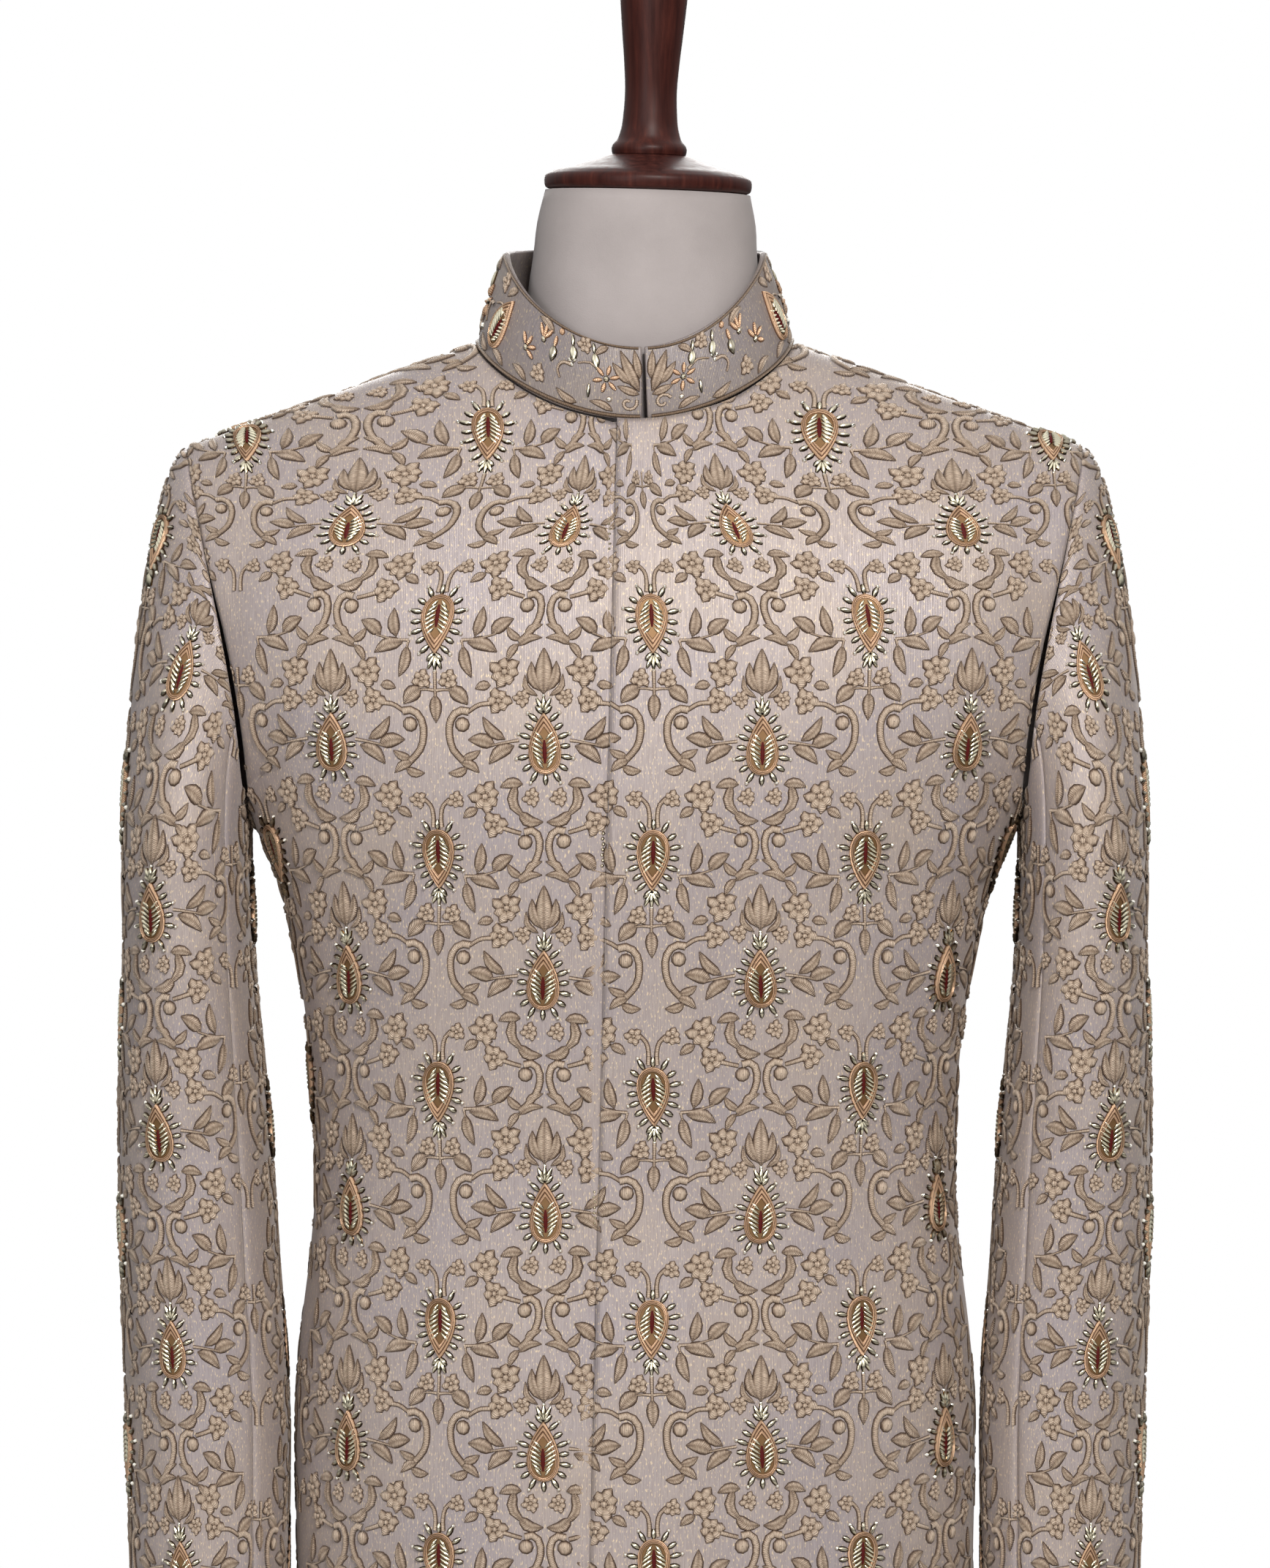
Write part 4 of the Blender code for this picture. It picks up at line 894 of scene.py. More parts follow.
class Motif:
    """Small raised grids in mm: across, up and height over the cloth, ready to be laid on it."""

    def __init__(self):
        self.points = []
        self.quads = []
        self.stitch = []
        self.painted_light = []
        self.finish = []
        self.element = []
        self.count = 0

    def add(self, grid, stitch, painted_light, finish):
        """Adds one grid, its faces turned up by the sign of its area seen from above. Its painted-light
        values run from 0, painted shade at the foot, to 1, painted highlight on top.
        """
        rows, columns = grid.shape[:2]
        quads = grid_faces(rows, columns)
        flat = grid.reshape(-1, 3)
        first, second = flat[quads[:, 2]] - flat[quads[:, 0]], flat[quads[:, 3]] - flat[quads[:, 1]]
        if np.sum(first[:, 0] * second[:, 1] - first[:, 1] * second[:, 0]) < 0:
            quads = quads[:, ::-1]
        self.points.append(flat)
        self.quads.append(quads + self.count)
        self.stitch.append(stitch.reshape(-1, 2))
        self.painted_light.append(np.broadcast_to(painted_light, grid.shape[:2]).ravel())
        self.finish.append(np.full(len(quads), finish))
        self.element.append(np.full(len(flat), len(self.element)))
        self.count += len(flat)

    def stamp(self, other, centre, angle):
        """Adds a copy of another motif, turned by an angle and carried to a centre."""
        turn = np.array([[math.cos(angle), math.sin(angle)], [-math.sin(angle), math.cos(angle)]])
        points, quads, stitch, painted_light, finish, element = other.arrays()
        flat = points[:, :2] @ turn + np.array(centre)
        self.points.append(np.column_stack([flat, points[:, 2]]))
        self.quads.append(quads + self.count)
        self.stitch.append(stitch)
        self.painted_light.append(painted_light)
        self.finish.append(finish)
        self.element.append(np.full(len(points), len(self.element)))
        self.count += len(points)

    def arrays(self):
        """The motif's points, quads, stitch map, painted-light values, finishes and element numbers."""
        parts = (self.points, self.quads, self.stitch, self.painted_light, self.finish, self.element)
        return [np.concatenate(part) for part in parts]


def line(points, count):
    """A smooth line through a few points, read at even lengths."""
    points = np.array(points, float)
    if len(points) == 2:
        return points[0] + (points[1] - points[0]) * np.linspace(0, 1, count)[:, None]
    along = lengths_along(points)
    fine = np.linspace(0, along[-1], 60)
    return spaced(np.stack([smooth(fine, along, column) for column in points.T], axis=1), count)


def ribbon(motif, path, half, across, height, finish, shape=None):
    """A raised strip along a path: its section is a dome across, and half gives its half width
    and height its crown along the path."""
    along = unit(np.gradient(path, axis=0))
    aside = np.stack([-along[:, 1], along[:, 0]], axis=1)
    share = np.linspace(-1, 1, across)[None, :]
    dome = np.sqrt(np.clip(1 - share**2, 0, 1))
    if shape is not None:
        dome = dome * shape(share)
    flat = path[:, None] + aside[:, None] * (half[:, None] * share)[..., None]
    rise = height[:, None] * dome
    lengths = lengths_along(path)[:, None]
    stitch = np.stack([lengths + 0.35 * np.abs(half[:, None] * share), half[:, None] * share], axis=-1)
    # Painted light: 0 at the strip's foot and in its groove for painted shade, 1 on its top for painted
    # highlight.
    painted_light = dome * np.minimum(height / max(height.max(), 1e-9), 1)[:, None]
    motif.add(np.concatenate([flat, rise[..., None]], axis=-1), stitch, painted_light, finish)


def leaf(motif, base, tip, width, height=1.6, bend=0.0, steps=6, across=5, finish=THREAD):
    """A leaf: half its width swells as a sine of the length and closes to a point, and a groove
    down its middle parts the two rows of stitches."""
    base, tip = np.array(base, float), np.array(tip, float)
    run = tip - base
    middle = (base + tip) / 2 + np.array([-run[1], run[0]]) * bend
    path = line([base, middle, tip], steps)
    w = np.linspace(0, 1, steps)
    half = width / 2 * (0.10 + 0.90 * np.sin(math.pi * w**0.82) ** 0.85)
    rise = height * (0.25 + 0.75 * np.sin(math.pi * np.clip(w * 0.94 + 0.03, 0, 1)) ** 0.6)
    ribbon(motif, path, half, across, rise, finish, lambda c: 1 - 0.46 * np.exp(-((c / 0.22) ** 2)))


def stem(motif, points, width=1.8, height=1.1, steps=8, taper=0.6, finish=THREAD):
    """A stem or scroll: a half-round strip, thinner toward its end by the taper."""
    path = line(points, steps)
    w = np.linspace(0, 1, steps)
    half = width / 2 * (1 - (1 - taper) * w)
    ribbon(motif, path, half, 5 if width > 3 else 4, height * (1 - 0.3 * w), finish)


def curl(motif, centre, radius, start, turns, width=1.5, height=0.9, steps=11, finish=THREAD):
    """A curled stem: its radius shrinks evenly over the turns, as a spiral's."""
    w = np.linspace(0, 1, steps)
    angle = start + turns * 2 * math.pi * w
    far = radius * (1 - 0.80 * w)
    path = np.array(centre) + np.stack([far * np.cos(angle), far * np.sin(angle)], axis=1)
    ribbon(motif, path, np.full(steps, width / 2), 4, np.full(steps, height), finish)


def knot(motif, centre, radius, height=0.9, sides=8, finish=THREAD):
    """A round knot: rings whose height falls from the middle as a circle's."""
    angle = np.linspace(0, 2 * math.pi, sides + 1)[None, :]
    far = np.array([0.05, 0.6, 1.0])[:, None]
    flat = np.stack([far * np.cos(angle), far * np.sin(angle)], axis=-1) * radius + np.array(centre)
    rise = height * np.sqrt(np.clip(1.0 - far**2, 0, 1)) + 0 * angle
    # Its painted light follows its height: painted shade at the rim, painted highlight on top.
    motif.add(np.concatenate([flat, rise[..., None]], axis=-1), flat, rise / height, finish)


def flower(motif, centre, radius, petals, turn=0.0, height=1.5, wide=0.85):
    """Pointed petals round a knot, every other one shorter and lower, as in a feathered flower."""
    centre = np.array(centre, float)
    for number in range(petals):
        angle = turn + number * 2 * math.pi / petals + 0.12 * math.sin(5 * number)
        way = np.array([math.cos(angle), math.sin(angle)])
        width = wide * radius * 2 * math.sin(math.pi / petals) * 1.15
        size = 1.06 if number % 2 else 0.86
        foot, tip = centre + way * radius * 0.14, centre + way * radius * size
        leaf(motif, foot, tip, width, height * size, 0.10, 4, 4)
    knot(motif, centre, radius * 0.26, height * 1.1, 5)


def leaves(motif, side, rows):
    """Leaves on one side, from rows of foot across and up, tip across and up, width and bend."""
    for foot_x, foot_y, tip_x, tip_y, width, bend in rows:
        leaf(motif, (foot_x * side, foot_y), (tip_x * side, tip_y), width, bend=bend * side)


def both(draw):
    """Draws something on the right, then mirrored on the left. draw takes the side as 1 or -1."""
    draw(1)
    draw(-1)


def down_cell():
    """Everything in thread round a medallion that points down: two stalks over it, three-leaved
    sprays beside it and two flowers and hanging leaves below."""
    made = Motif()

    def half(side):
        stalk = [(2.2 * side, 16.5), (2.0 * side, 22), (3.2 * side, 27.5), (6.5 * side, 31.0)]
        stem(made, stalk, 2.6, 1.3, taper=0.9)
        stem(made, [(13.5 * side, -8), (21 * side, -7.5), (30.5 * side, -4.8)], 1.9)
        stem(made, [(13.5 * side, -8), (14.4 * side, -12)], 1.7, steps=4)
        stem(made, [(0.6 * side, -33.0), (3.5 * side, -32.6), (8 * side, -32.8)], 1.9, steps=5)
        flower(made, (9.6 * side, 30.6), 4.7, 6, 0.3 * side)
        flower(made, (6.9 * side, -27.5), 5.3, 6, 0.2)
        leaves(made, side, (
            (20.0, -6.0, 22.8, 9.0, 6.6, -0.06), (28.5, -5.0, 39.0, 3.0, 7.8, 0.10),
            (16.5, -9.2, 31.5, -14.0, 7.6, 0.12), (14.3, -10.8, 18.8, -26.5, 6.4, -0.07),
            (7.0, -32.0, 16.5, -40.0, 8.4, 0.10),
        ))

    both(half)
    stem(made, [(0, -23.5), (0, -29), (0, -36)], 2.2, 1.2, 6, 0.8)
    leaf(made, (0, -35), (0, -49), 6.8)
    return made


def up_cell():
    """Everything in thread round a medallion that points up: a palmette over it, flowers and
    scrolls at its shoulders, sprays beside it and a wreath, scrolls and an arch below."""
    made = Motif()

    def half(side):
        flower(made, (10.8 * side, 22.6), 4.8, 7, 0.2)
        flower(made, (19.6 * side, 36.2), 8.4, 7, 0.2 * side)
        flower(made, (22.6 * side, 21.6), 6.8, 6, 0.9)
        flower(made, (7.0 * side, -26.6), 5.0, 7, 0.5)
        flower(made, (30.4 * side, -26.6), 8.4, 7, 0.3)
        flower(made, (25.6 * side, -40.4), 6.8, 6, 1.1)
        stem(made, [(27 * side, 20.5), (32.5 * side, 20), (38.5 * side, 16.5)], 2.7, 1.2, 6, 0.9)
        stem(made, [(38.0 * side, 16.6), (43.0 * side, 17.2), (47.4 * side, 12.6), (48.4 * side, 5.0),
                    (46.6 * side, -2.5), (41.5 * side, -8.5)], 4.4, 1.7, 10, 0.85)
        stem(made, [(13.0 * side, 1.5), (20 * side, 0.5), (28 * side, -1.0)], 1.9)
        stem(made, [(21 * side, -42), (16.5 * side, -43.4), (12 * side, -44.6)], 2.7, 1.2, 5, 0.9)
        stem(made, [(10.2 * side, -44.0), (5.4 * side, -43.2), (2.5 * side, -48.5), (3.4 * side, -56.5),
                    (7.6 * side, -63.5), (12.6 * side, -68.0)], 4.4, 1.7, 10, 0.8)
        knot(made, (41.6 * side, 10.2), 4.0, 1.7, 9)
        knot(made, (9.8 * side, -49.0), 4.0, 1.7, 9)
        leaves(made, side, (
            (3.0, 23.5, 9.4, 34.5, 3.6, -0.22), (1.6, 26.0, 6.2, 41.0, 6.0, -0.12),
            (26.5, 29.5, 34.5, 28.0, 5.4, 0.10), (42.0, -7.0, 32.8, -3.2, 4.8, 0.10),
            (43.0, -9.0, 33.5, -14.5, 5.4, -0.12), (39.5, -12.0, 49.0, -14.5, 5.2, -0.14),
            (20.0, 2.0, 31.0, 13.8, 6.2, -0.12), (25.5, -1.0, 38.8, 2.4, 8.0, 0.10),
            (15.5, -1.2, 28.5, -10.2, 7.4, 0.12), (14.8, -19.8, 10.2, -36.8, 5.8, 0.24),
            (13.0, -33.6, 0.9, -38.9, 6.6, 0.20), (11.5, -20.2, 23.0, -21.8, 6.0, 0.12),
            (34.0, -33.0, 41.5, -37.5, 5.4, 0.08), (9.6, -64.5, 0.9, -59.0, 4.6, -0.12),
            (13.0, -70.0, 0.9, -66.0, 4.8, -0.16), (11.5, -67.0, 19.0, -60.0, 4.8, -0.12),
            (12.8, -69.0, 18.2, -77.5, 4.6, 0.10),
        ))

    both(half)
    leaf(made, (0, 24.5), (0, 47.8), 9.4, 1.8, 0, 9, 7)
    return made


# The metalwork: every medallion is a teardrop of twisted copper cord couched in rings, filled
# with short pieces of gold purl on both sides of a dark red slit. Gold bugles stand round it
# like rays, every other one with a bright bead at its end, and a fan stands at its point.
CORD, PURL, BUGLE, SEQUIN, SLIT, BED = range(6)


def teardrop(turn, long, wide):
    """A teardrop with its point up: up is the cosine of the turn, and across its sine times a
    power of the half turn's sine, scaled to the half width."""
    swell = np.sin(turn) * np.abs(np.sin(turn / 2)) ** 0.9
    return np.stack([wide * swell / 0.806, long * np.cos(turn)], axis=-1)


def bar(motif, start, end, width, lift, height, finish, steps=4):
    """A short tube lying on the cloth: a ridge in section, closed in at both ends."""
    path = line([start, end], steps)
    ends = np.ones(steps)
    ends[[0, -1]] = 0.5
    along = unit(path[-1] - path[0])
    aside = np.array([-along[1], along[0]])
    share = np.array([[-1.0, 0.0, 1.0]])
    dome = (1 - np.abs(share)) * ends[:, None]
    flat = path[:, None] + aside * (width / 2 * ends[:, None] * share)[..., None]
    rise = lift + height * dome
    rise[:, [0, -1]] = lift * 0.5
    lengths = lengths_along(path)[:, None]
    stitch = np.stack([lengths + 0 * share, 0 * lengths + width / 2 * share], axis=-1)
    # The ridge's dome also gives its painted light: painted shade at its sides and ends, painted highlight
    # along the ridge.
    motif.add(np.concatenate([flat, rise[..., None]], axis=-1), stitch, dome, finish)


def medallion(tip, long=15.5, wide=8.7, rays=True):
    """One medallion with its point up, or down where tip is -1: its ring of cords is narrow at
    the sides and deep at the point, so the filled middle lies toward the blunt end."""
    made = Motif()
    flip = np.array([1, tip, 1])
    cords = 3
    turn = np.linspace(0, 2 * math.pi, 25)
    inward = np.linspace(0, 1, 2 * cords + 1)
    band = np.abs(np.sin(math.pi * cords * inward))
    sink = 0.175 * long
    rings = [
        teardrop(turn, long * (1 - 0.33 * q), wide * (1 - 0.27 * q)) - (0, sink * q) for q in inward
    ]
    grid = np.stack(rings)
    rise = 1.0 + 0.75 * band[:, None] + 0.6 * np.sin(math.pi * inward)[:, None] + 0 * turn[None, :]
    rise[0] = 0
    lengths = lengths_along(grid)
    stitch = np.stack([lengths, inward[:, None] * 3.0 + 0 * lengths], axis=-1)
    # band also sets the cords' painted light: painted shade between the rings of cord, a painted highlight on
    # each.
    made.add(np.concatenate([grid, rise[..., None]], axis=-1) * flip, stitch, band[:, None], CORD)
    inner = rings[-1] + (0, sink)
    bed = np.stack([inner * q - (0, sink) for q in (0.04, 1.0)])
    made.add(
        np.concatenate([bed, np.full(bed.shape[:2] + (1,), 0.9)], axis=-1) * flip, bed,
        np.full(bed.shape[:2], 0.3), BED,
    )
    for up in np.linspace(-0.88, 0.50, 7):
        room = wide * 0.80 * (1 - 0.70 * abs(up + 0.12) ** 1.8)
        for side in (1, -1):
            start = np.array([1.0 * side, up * long * 0.66 - sink - 0.3])
            end = np.array([room * side, (up + 0.34) * long * 0.66 - sink])
            bar(made, start * flip[:2], end * flip[:2], 1.9, 0.9, 1.9, PURL)
    low, high = np.array([0, -0.64 * long]), np.array([0, 0.10 * long])
    bar(made, low * flip[:2], high * flip[:2], 2.5, 1.3, 0.9, SLIT)
    if not rays:
        return made
    fine = np.linspace(0.30, 2 * math.pi - 0.30, 400)
    outline = teardrop(fine, long, wide)
    along = lengths_along(outline) / lengths_along(outline)[-1]
    for number, share in enumerate(np.linspace(0, 1, 17)):
        place = int(np.interp(share, along, np.arange(400)))
        run = unit(outline[min(place + 1, 399)] - outline[max(place - 1, 0)])
        way = np.array([run[1], -run[0]])
        way *= 1 if way @ outline[place] > 0 else -1
        way = unit(way + 0.25 * unit(outline[place]))
        start = outline[place] - way * 0.3
        end = start + way * (6.0 if number % 2 else 5.2)
        bar(made, start * flip[:2], end * flip[:2], 2.9, 0.4, 2.0, BUGLE)
        if number % 2:
            knot(made, (end + way * 0.5) * flip[:2], 1.3, 1.7, 5, SEQUIN)
    for lean in (-0.45, 0.0, 0.45):
        way = np.array([math.sin(lean), math.cos(lean)])
        foot = np.array([0, long - 0.4]) + way
        bar(made, foot * flip[:2], (foot + way * 7.0) * flip[:2], 2.4, 0.4, 1.9, PURL)
    knot(made, np.array([0, long + 8.0]) * flip[:2], 1.2, 1.2, 5, SEQUIN)
    return made


def make_thread(name, dark, middle, pale):
    """Silk floss with painted light: a pale painted highlight on the crowns of the stitches, and brown
    painted shade in the hollows and at the foot, spread by the painted-light value.
    """
    made, tree, principled = shader(
        name, middle, 0.42, 0.05, Sheen_Weight=0.3, Sheen_Roughness=0.35, Sheen_Tint=(1.0, 0.90, 0.78, 1)
    )
    painted_light = node(tree, "Attribute", attribute_name="painted_light").outputs["Fac"]
    _, stitches = threads(tree, 0.00065, 0.0035, 0.0009)
    # Painted shade below, middle colour, then painted highlight on top, by the painted-light value.
    shade = ramp(tree, painted_light, ((0.26, dark), (0.60, middle), (0.95, pale)))
    streak = ramp(tree, stitches.outputs["Streaks"], ((0.34, (0.66, 0.61, 0.57)), (0.64, (1.15, 1.12, 1.08))))
    tree.links.new(mixed(tree, 0.9, shade, streak, "MULTIPLY"), principled.inputs["Base Color"])
    bump = node(tree, "Bump", {"Height": stitches.outputs["Height"], "Strength": 0.8, "Distance": 0.0004})
    tree.links.new(bump.outputs[0], principled.inputs["Normal"])
    return made


def make_metal(name, dark, bright, roughness, pitch=None, metallic=1.0, low=0.0):
    """A bright wire finish with painted light: painted shade in its hollows up to a low painted-light value,
    a painted highlight on its crowns, and ribbed along its length by its coils."""
    made, tree, principled = shader(name, bright, roughness, metallic)
    painted_light = node(tree, "Attribute", attribute_name="painted_light").outputs["Fac"]
    # Painted shade up to low, painted highlight above, by the painted-light value.
    shade = ramp(tree, painted_light, ((low, dark), (low + 0.45, bright)))
    tree.links.new(shade, principled.inputs["Base Color"])
    if pitch:
        _, coils = threads(tree, pitch, pitch * 4, pitch)
        bump = node(tree, "Bump", {"Height": coils.outputs["Height"], "Strength": 0.8, "Distance": 0.0003})
        tree.links.new(bump.outputs[0], principled.inputs["Normal"])
    return made


# Each finish's colours run from painted shade at the foot of an element to a painted highlight on its top, by
# its painted-light value.
THREAD_FINISHES = [
    make_thread("taupe thread", (0.080, 0.047, 0.030), (0.425, 0.322, 0.243), (0.720, 0.590, 0.475)),
    make_thread("brown edging", (0.060, 0.036, 0.022), (0.130, 0.085, 0.055), (0.240, 0.165, 0.110)),
]
METALS = [
    make_metal("copper cord", (0.130, 0.050, 0.020), (0.80, 0.52, 0.33), 0.38, 0.0009, 0.45, 0.15),
    make_metal("gold purl", (0.060, 0.030, 0.010), (1.0, 0.93, 0.70), 0.18, low=0.25),
    make_metal("pewter gold bugle", (0.050, 0.032, 0.018), (0.66, 0.60, 0.46), 0.24, low=0.30),
    make_metal("sequin", (0.40, 0.34, 0.25), (1.0, 0.97, 0.88), 0.12),
    shader("dark red silk", (0.085, 0.004, 0.004), 0.65, 0.0, Specular_IOR_Level=0.2)[0],
    shader("dark gold bed", (0.200, 0.110, 0.045), 0.5, 0.5)[0],
]


def wander(flat):
    """The small drift of hand-guided work: slow sines of both flat directions."""
    s, t = flat.T
    across = np.sin(31 * t + 17 * s) + 0.6 * np.sin(83 * t - 41 * s)
    down = np.sin(37 * s - 23 * t) + 0.6 * np.sin(71 * s + 59 * t)
    return flat + 0.0005 * np.stack([across, down], axis=1)


def embroider(cloth, name, groups, finishes, cut, low=None, drawn=wander):
    """Lays copies of motifs on a cloth. groups holds (motif, centres); a centre is a flat place,
    and drawn moves all flat places to where they were worked.

    Where cut is true, an element that crosses the piece's edge ends there, as cloth cut through
    its embroidery. Otherwise an element that would cross it is left out whole. low gives how
    much of its height the work keeps at a flat place."""
    flats, rises, quads, stitches, painted_lights, kinds, elements = [], [], [], [], [], [], []
    base = 0
    number = 0
    for motif, centres in groups:
        if not len(centres):
            continue
        points, faces, stitch, painted_light, finish, element = motif.arrays()
        copies = len(centres)
        offset = points[:, :2] * (0.001, -0.001)
        flats.append((np.asarray(centres)[:, None] + offset[None]).reshape(-1, 2))
        rises.append(np.tile(points[:, 2] * 0.001, copies))
        steps = np.arange(copies)[:, None, None]
        quads.append((faces[None] + steps * len(points) + base).reshape(-1, 4))
        stitches.append(np.tile(stitch * 0.001, (copies, 1)))
        painted_lights.append(np.tile(painted_light, copies))
        kinds.append(np.tile(finish, copies))
        count = element.max() + 1
        elements.append((element[None] + np.arange(copies)[:, None] * count + number).ravel())
        base += copies * len(points)
        number += copies * count
    if not flats:
        return None
    flat, rise, quads = drawn(np.concatenate(flats)), np.concatenate(rises), np.concatenate(quads)
    stitch, painted_light = np.concatenate(stitches), np.concatenate(painted_lights)
    kind, element = np.concatenate(kinds), np.concatenate(elements)
    distance, nearest = edge_reading(flat, cloth.outline)
    outside = distance < 0.0008
    if cut:
        flat = np.where((distance < 0)[:, None], nearest, flat)
        rise = np.where(outside, 0.0001, rise)
        kept = ~outside[quads].all(axis=1)
    else:
        crossing = np.zeros(element.max() + 1, bool)
        crossing[element[outside]] = True
        kept = ~crossing[element[quads[:, 0]]]
    quads, kind = quads[kept], kind[kept]
    if not len(quads):
        return None
    used, quads = np.unique(quads, return_inverse=True)
    quads = quads.reshape(-1, 4)
    flat, rise, stitch, painted_light = flat[used], rise[used], stitch[used], painted_light[used]
    if low is not None:
        rise = rise * low(flat)
    points, normals = cloth.place(flat, rise)
    quads = outward(points, quads, normals)
    # The painted-light values go on as a point attribute, from which the finishes paint shade and highlight.
    made = mesh_object(name, points, quads, finishes, kind, stitch, {"painted_light": painted_light})
    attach(made, "root")
    return made


REPEAT_ACROSS = 0.110
REPEAT_DOWN = 0.1192
LATTICE_S = 0.009
LATTICE_Z = 1.346
UP_ROW_DROP = 0.0602
GRAIN_LEAN = 0.026
GRAIN_FALL = 0.016
DOWN_REACH = 0.055
UP_REACH = 0.085
MEDALLION_ROOM = 0.011
BESIDE_SLEEVE = 0.045
BESIDE_SLEEVE_Z = (0.78, 1.02)
DOWN_CELL, UP_CELL = down_cell(), up_cell()
DOWN_MEDALLION, UP_MEDALLION = medallion(-1), medallion(1)


def drawn_in(flat):
    """Above the chest line the grain of a front leans in toward the neck and falls a little."""
    s, t = flat.T
    middle = np.tanh(s / 0.040) * (1 - 0.75 * fade(np.abs(s), 0.10, 0.20))
    lean = GRAIN_LEAN * fade(-t, 0, 0.13) * middle
    return np.stack([s - lean, t + GRAIN_FALL * fade(-t, 0.03, 0.12)], axis=1)


def lattice(first, drop, half, outline, reach, drawn=wander):
    """Centres of one kind of medallion near a flat outline: every repeat across and down. Returns
    them with the room round each, as it lies once the grain is drawn in."""
    s, t = np.meshgrid(
        first[0] + half * REPEAT_ACROSS / 2 + np.arange(-4, 5) * REPEAT_ACROSS,
        first[1] + np.arange(-4, 11) * drop,
    )
    centres = np.stack([s.ravel(), t.ravel()], axis=1)
    room, _ = edge_reading(drawn(centres), outline)
    return centres[room > -reach], room[room > -reach]


def clear_of_sleeve(side):
    """How high the work stands: less where a sleeve hangs close beside the body."""

    def low(flat):
        z = CHEST_Z - flat[:, 1]
        beside = 1 - fade(side.girth(z) - np.abs(flat[:, 0]), 0.020, 0.050)
        level = fade(z, 0.76, 0.80) * (1 - fade(z, 0.99, 1.06))
        return 1 - 0.55 * beside * level

    return low


def roomy(side, centres, room):
    """The centres that are clear of the piece's edge and of the sleeve that hangs beside it."""
    z = CHEST_Z - centres[:, 1]
    beside = side.girth(z) - np.abs(centres[:, 0]) < BESIDE_SLEEVE
    level = (z > BESIDE_SLEEVE_Z[0]) & (z < BESIDE_SLEEVE_Z[1])
    return centres[(room > MEDALLION_ROOM) & ~(beside & level)]


for cloth, side in body_cloths:
    drawn = (lambda flat: wander(drawn_in(flat))) if side is FRONT else wander
    first = (LATTICE_S, CHEST_Z - LATTICE_Z)
    up_first = (first[0], first[1] + UP_ROW_DROP)
    downs, down_room = lattice(first, REPEAT_DOWN, 0, cloth.outline, DOWN_REACH, drawn)
    ups, up_room = lattice(up_first, REPEAT_DOWN, 1, cloth.outline, UP_REACH, drawn)
    low = clear_of_sleeve(side)
    cells = [(DOWN_CELL, downs), (UP_CELL, ups)]
    embroider(cloth, f"{cloth.name}_embroidery", cells, THREAD_FINISHES, True, low, drawn)
    metal_places = [
        (DOWN_MEDALLION, roomy(side, downs, down_room)),
        (UP_MEDALLION, roomy(side, ups, up_room)),
    ]
    embroider(cloth, f"{cloth.name}_medallions", metal_places, METALS, False, low, drawn)

# The lattice runs on across the centre back, so the medallions that meet the seam there are
# worked over it once it is sewn.
left_back = body_cloths[2][0]
neck_t, hem_t = left_back.outline[0, 1], left_back.outline[:, 1].max()
strip = np.array([(-0.04, neck_t), (0.04, neck_t), (0.04, hem_t), (-0.04, hem_t)])
seam_cloth = Cloth("back_seam", None, left_back.surface, strip, left_back.relief)
on_seam, seam_room = lattice((LATTICE_S, CHEST_Z - LATTICE_Z), REPEAT_DOWN, 0, strip, 0)
seam_places = [(DOWN_MEDALLION, on_seam[seam_room > MEDALLION_ROOM])]
embroider(seam_cloth, "back_seam_medallions", seam_places, METALS, False)

# A few short rows of dark beads sit on the under front, close beside the lapping edge.
EDGE_BEADS_Z = (1.395, 1.232, 1.050, 0.870, 0.640, 0.500)
EDGE_BEADS_OFF = 0.0024
beads = Motif()
for number in range(7):
    knot(beads, (0.3 * math.sin(2.1 * number), 2.7 * (number - 3)), 1.15, 1.5, 6, BUGLE)
bead_t = CHEST_Z - np.array(EDGE_BEADS_Z)
bead_places = np.stack([front_edge(bead_t) - EDGE_BEADS_OFF, bead_t], axis=1)
embroider(body_cloths[1][0], "front_edge_beads", [(beads, bead_places)], METALS, False)

SLEEVE_LINE = 0.078
SLEEVE_FIRST_Z = 1.311
SLEEVE_REPEAT_DOWN = 0.1125


def clear_of_body(flat):
    """How high the work on a sleeve stands: less where it hangs close to the body."""
    share = np.abs((flat[:, 0] / SLEEVE.half_girth + 1) % 2 - 1)
    z = SLEEVE.head_drop + UPPER_ARM_Z - flat[:, 1]
    return 1 - 0.55 * fade(share, 0.82, 0.95) * (1 - fade(z, 1.00, 1.10))


for cloth in sleeve_cloths:
    first_t = SLEEVE.head_drop + UPPER_ARM_Z - SLEEVE_FIRST_Z
    first_s = SLEEVE_LINE - REPEAT_ACROSS / 2
    ups, up_room = lattice((first_s, first_t), SLEEVE_REPEAT_DOWN, 1, cloth.outline, UP_REACH)
    half_drop = (first_s, first_t - SLEEVE_REPEAT_DOWN / 2)
    downs, down_room = lattice(half_drop, SLEEVE_REPEAT_DOWN, 0, cloth.outline, DOWN_REACH)
    cells = [(DOWN_CELL, downs), (UP_CELL, ups)]
    embroider(cloth, f"{cloth.name}_embroidery", cells, THREAD_FINISHES, True, clear_of_body)
    metal_places = [
        (DOWN_MEDALLION, downs[down_room > MEDALLION_ROOM]),
        (UP_MEDALLION, ups[up_room > MEDALLION_ROOM]),
    ]
    embroider(cloth, f"{cloth.name}_medallions", metal_places, METALS, False, clear_of_body)


# The collar: one stiff band of interlined silk that stands on the neckline, its two ends parted
# at the throat by a narrow slit that shows dark. Its top edge dips in front.
COLLAR_CLOTH = 0.0028
COLLAR_GAP_X = 0.005
COLLAR_GAP_FOOT = 0.0014
COLLAR_GAP_TOP = 0.0008
COLLAR_TOP_WIDTH = 0.067
COLLAR_SEAT = 0.0005


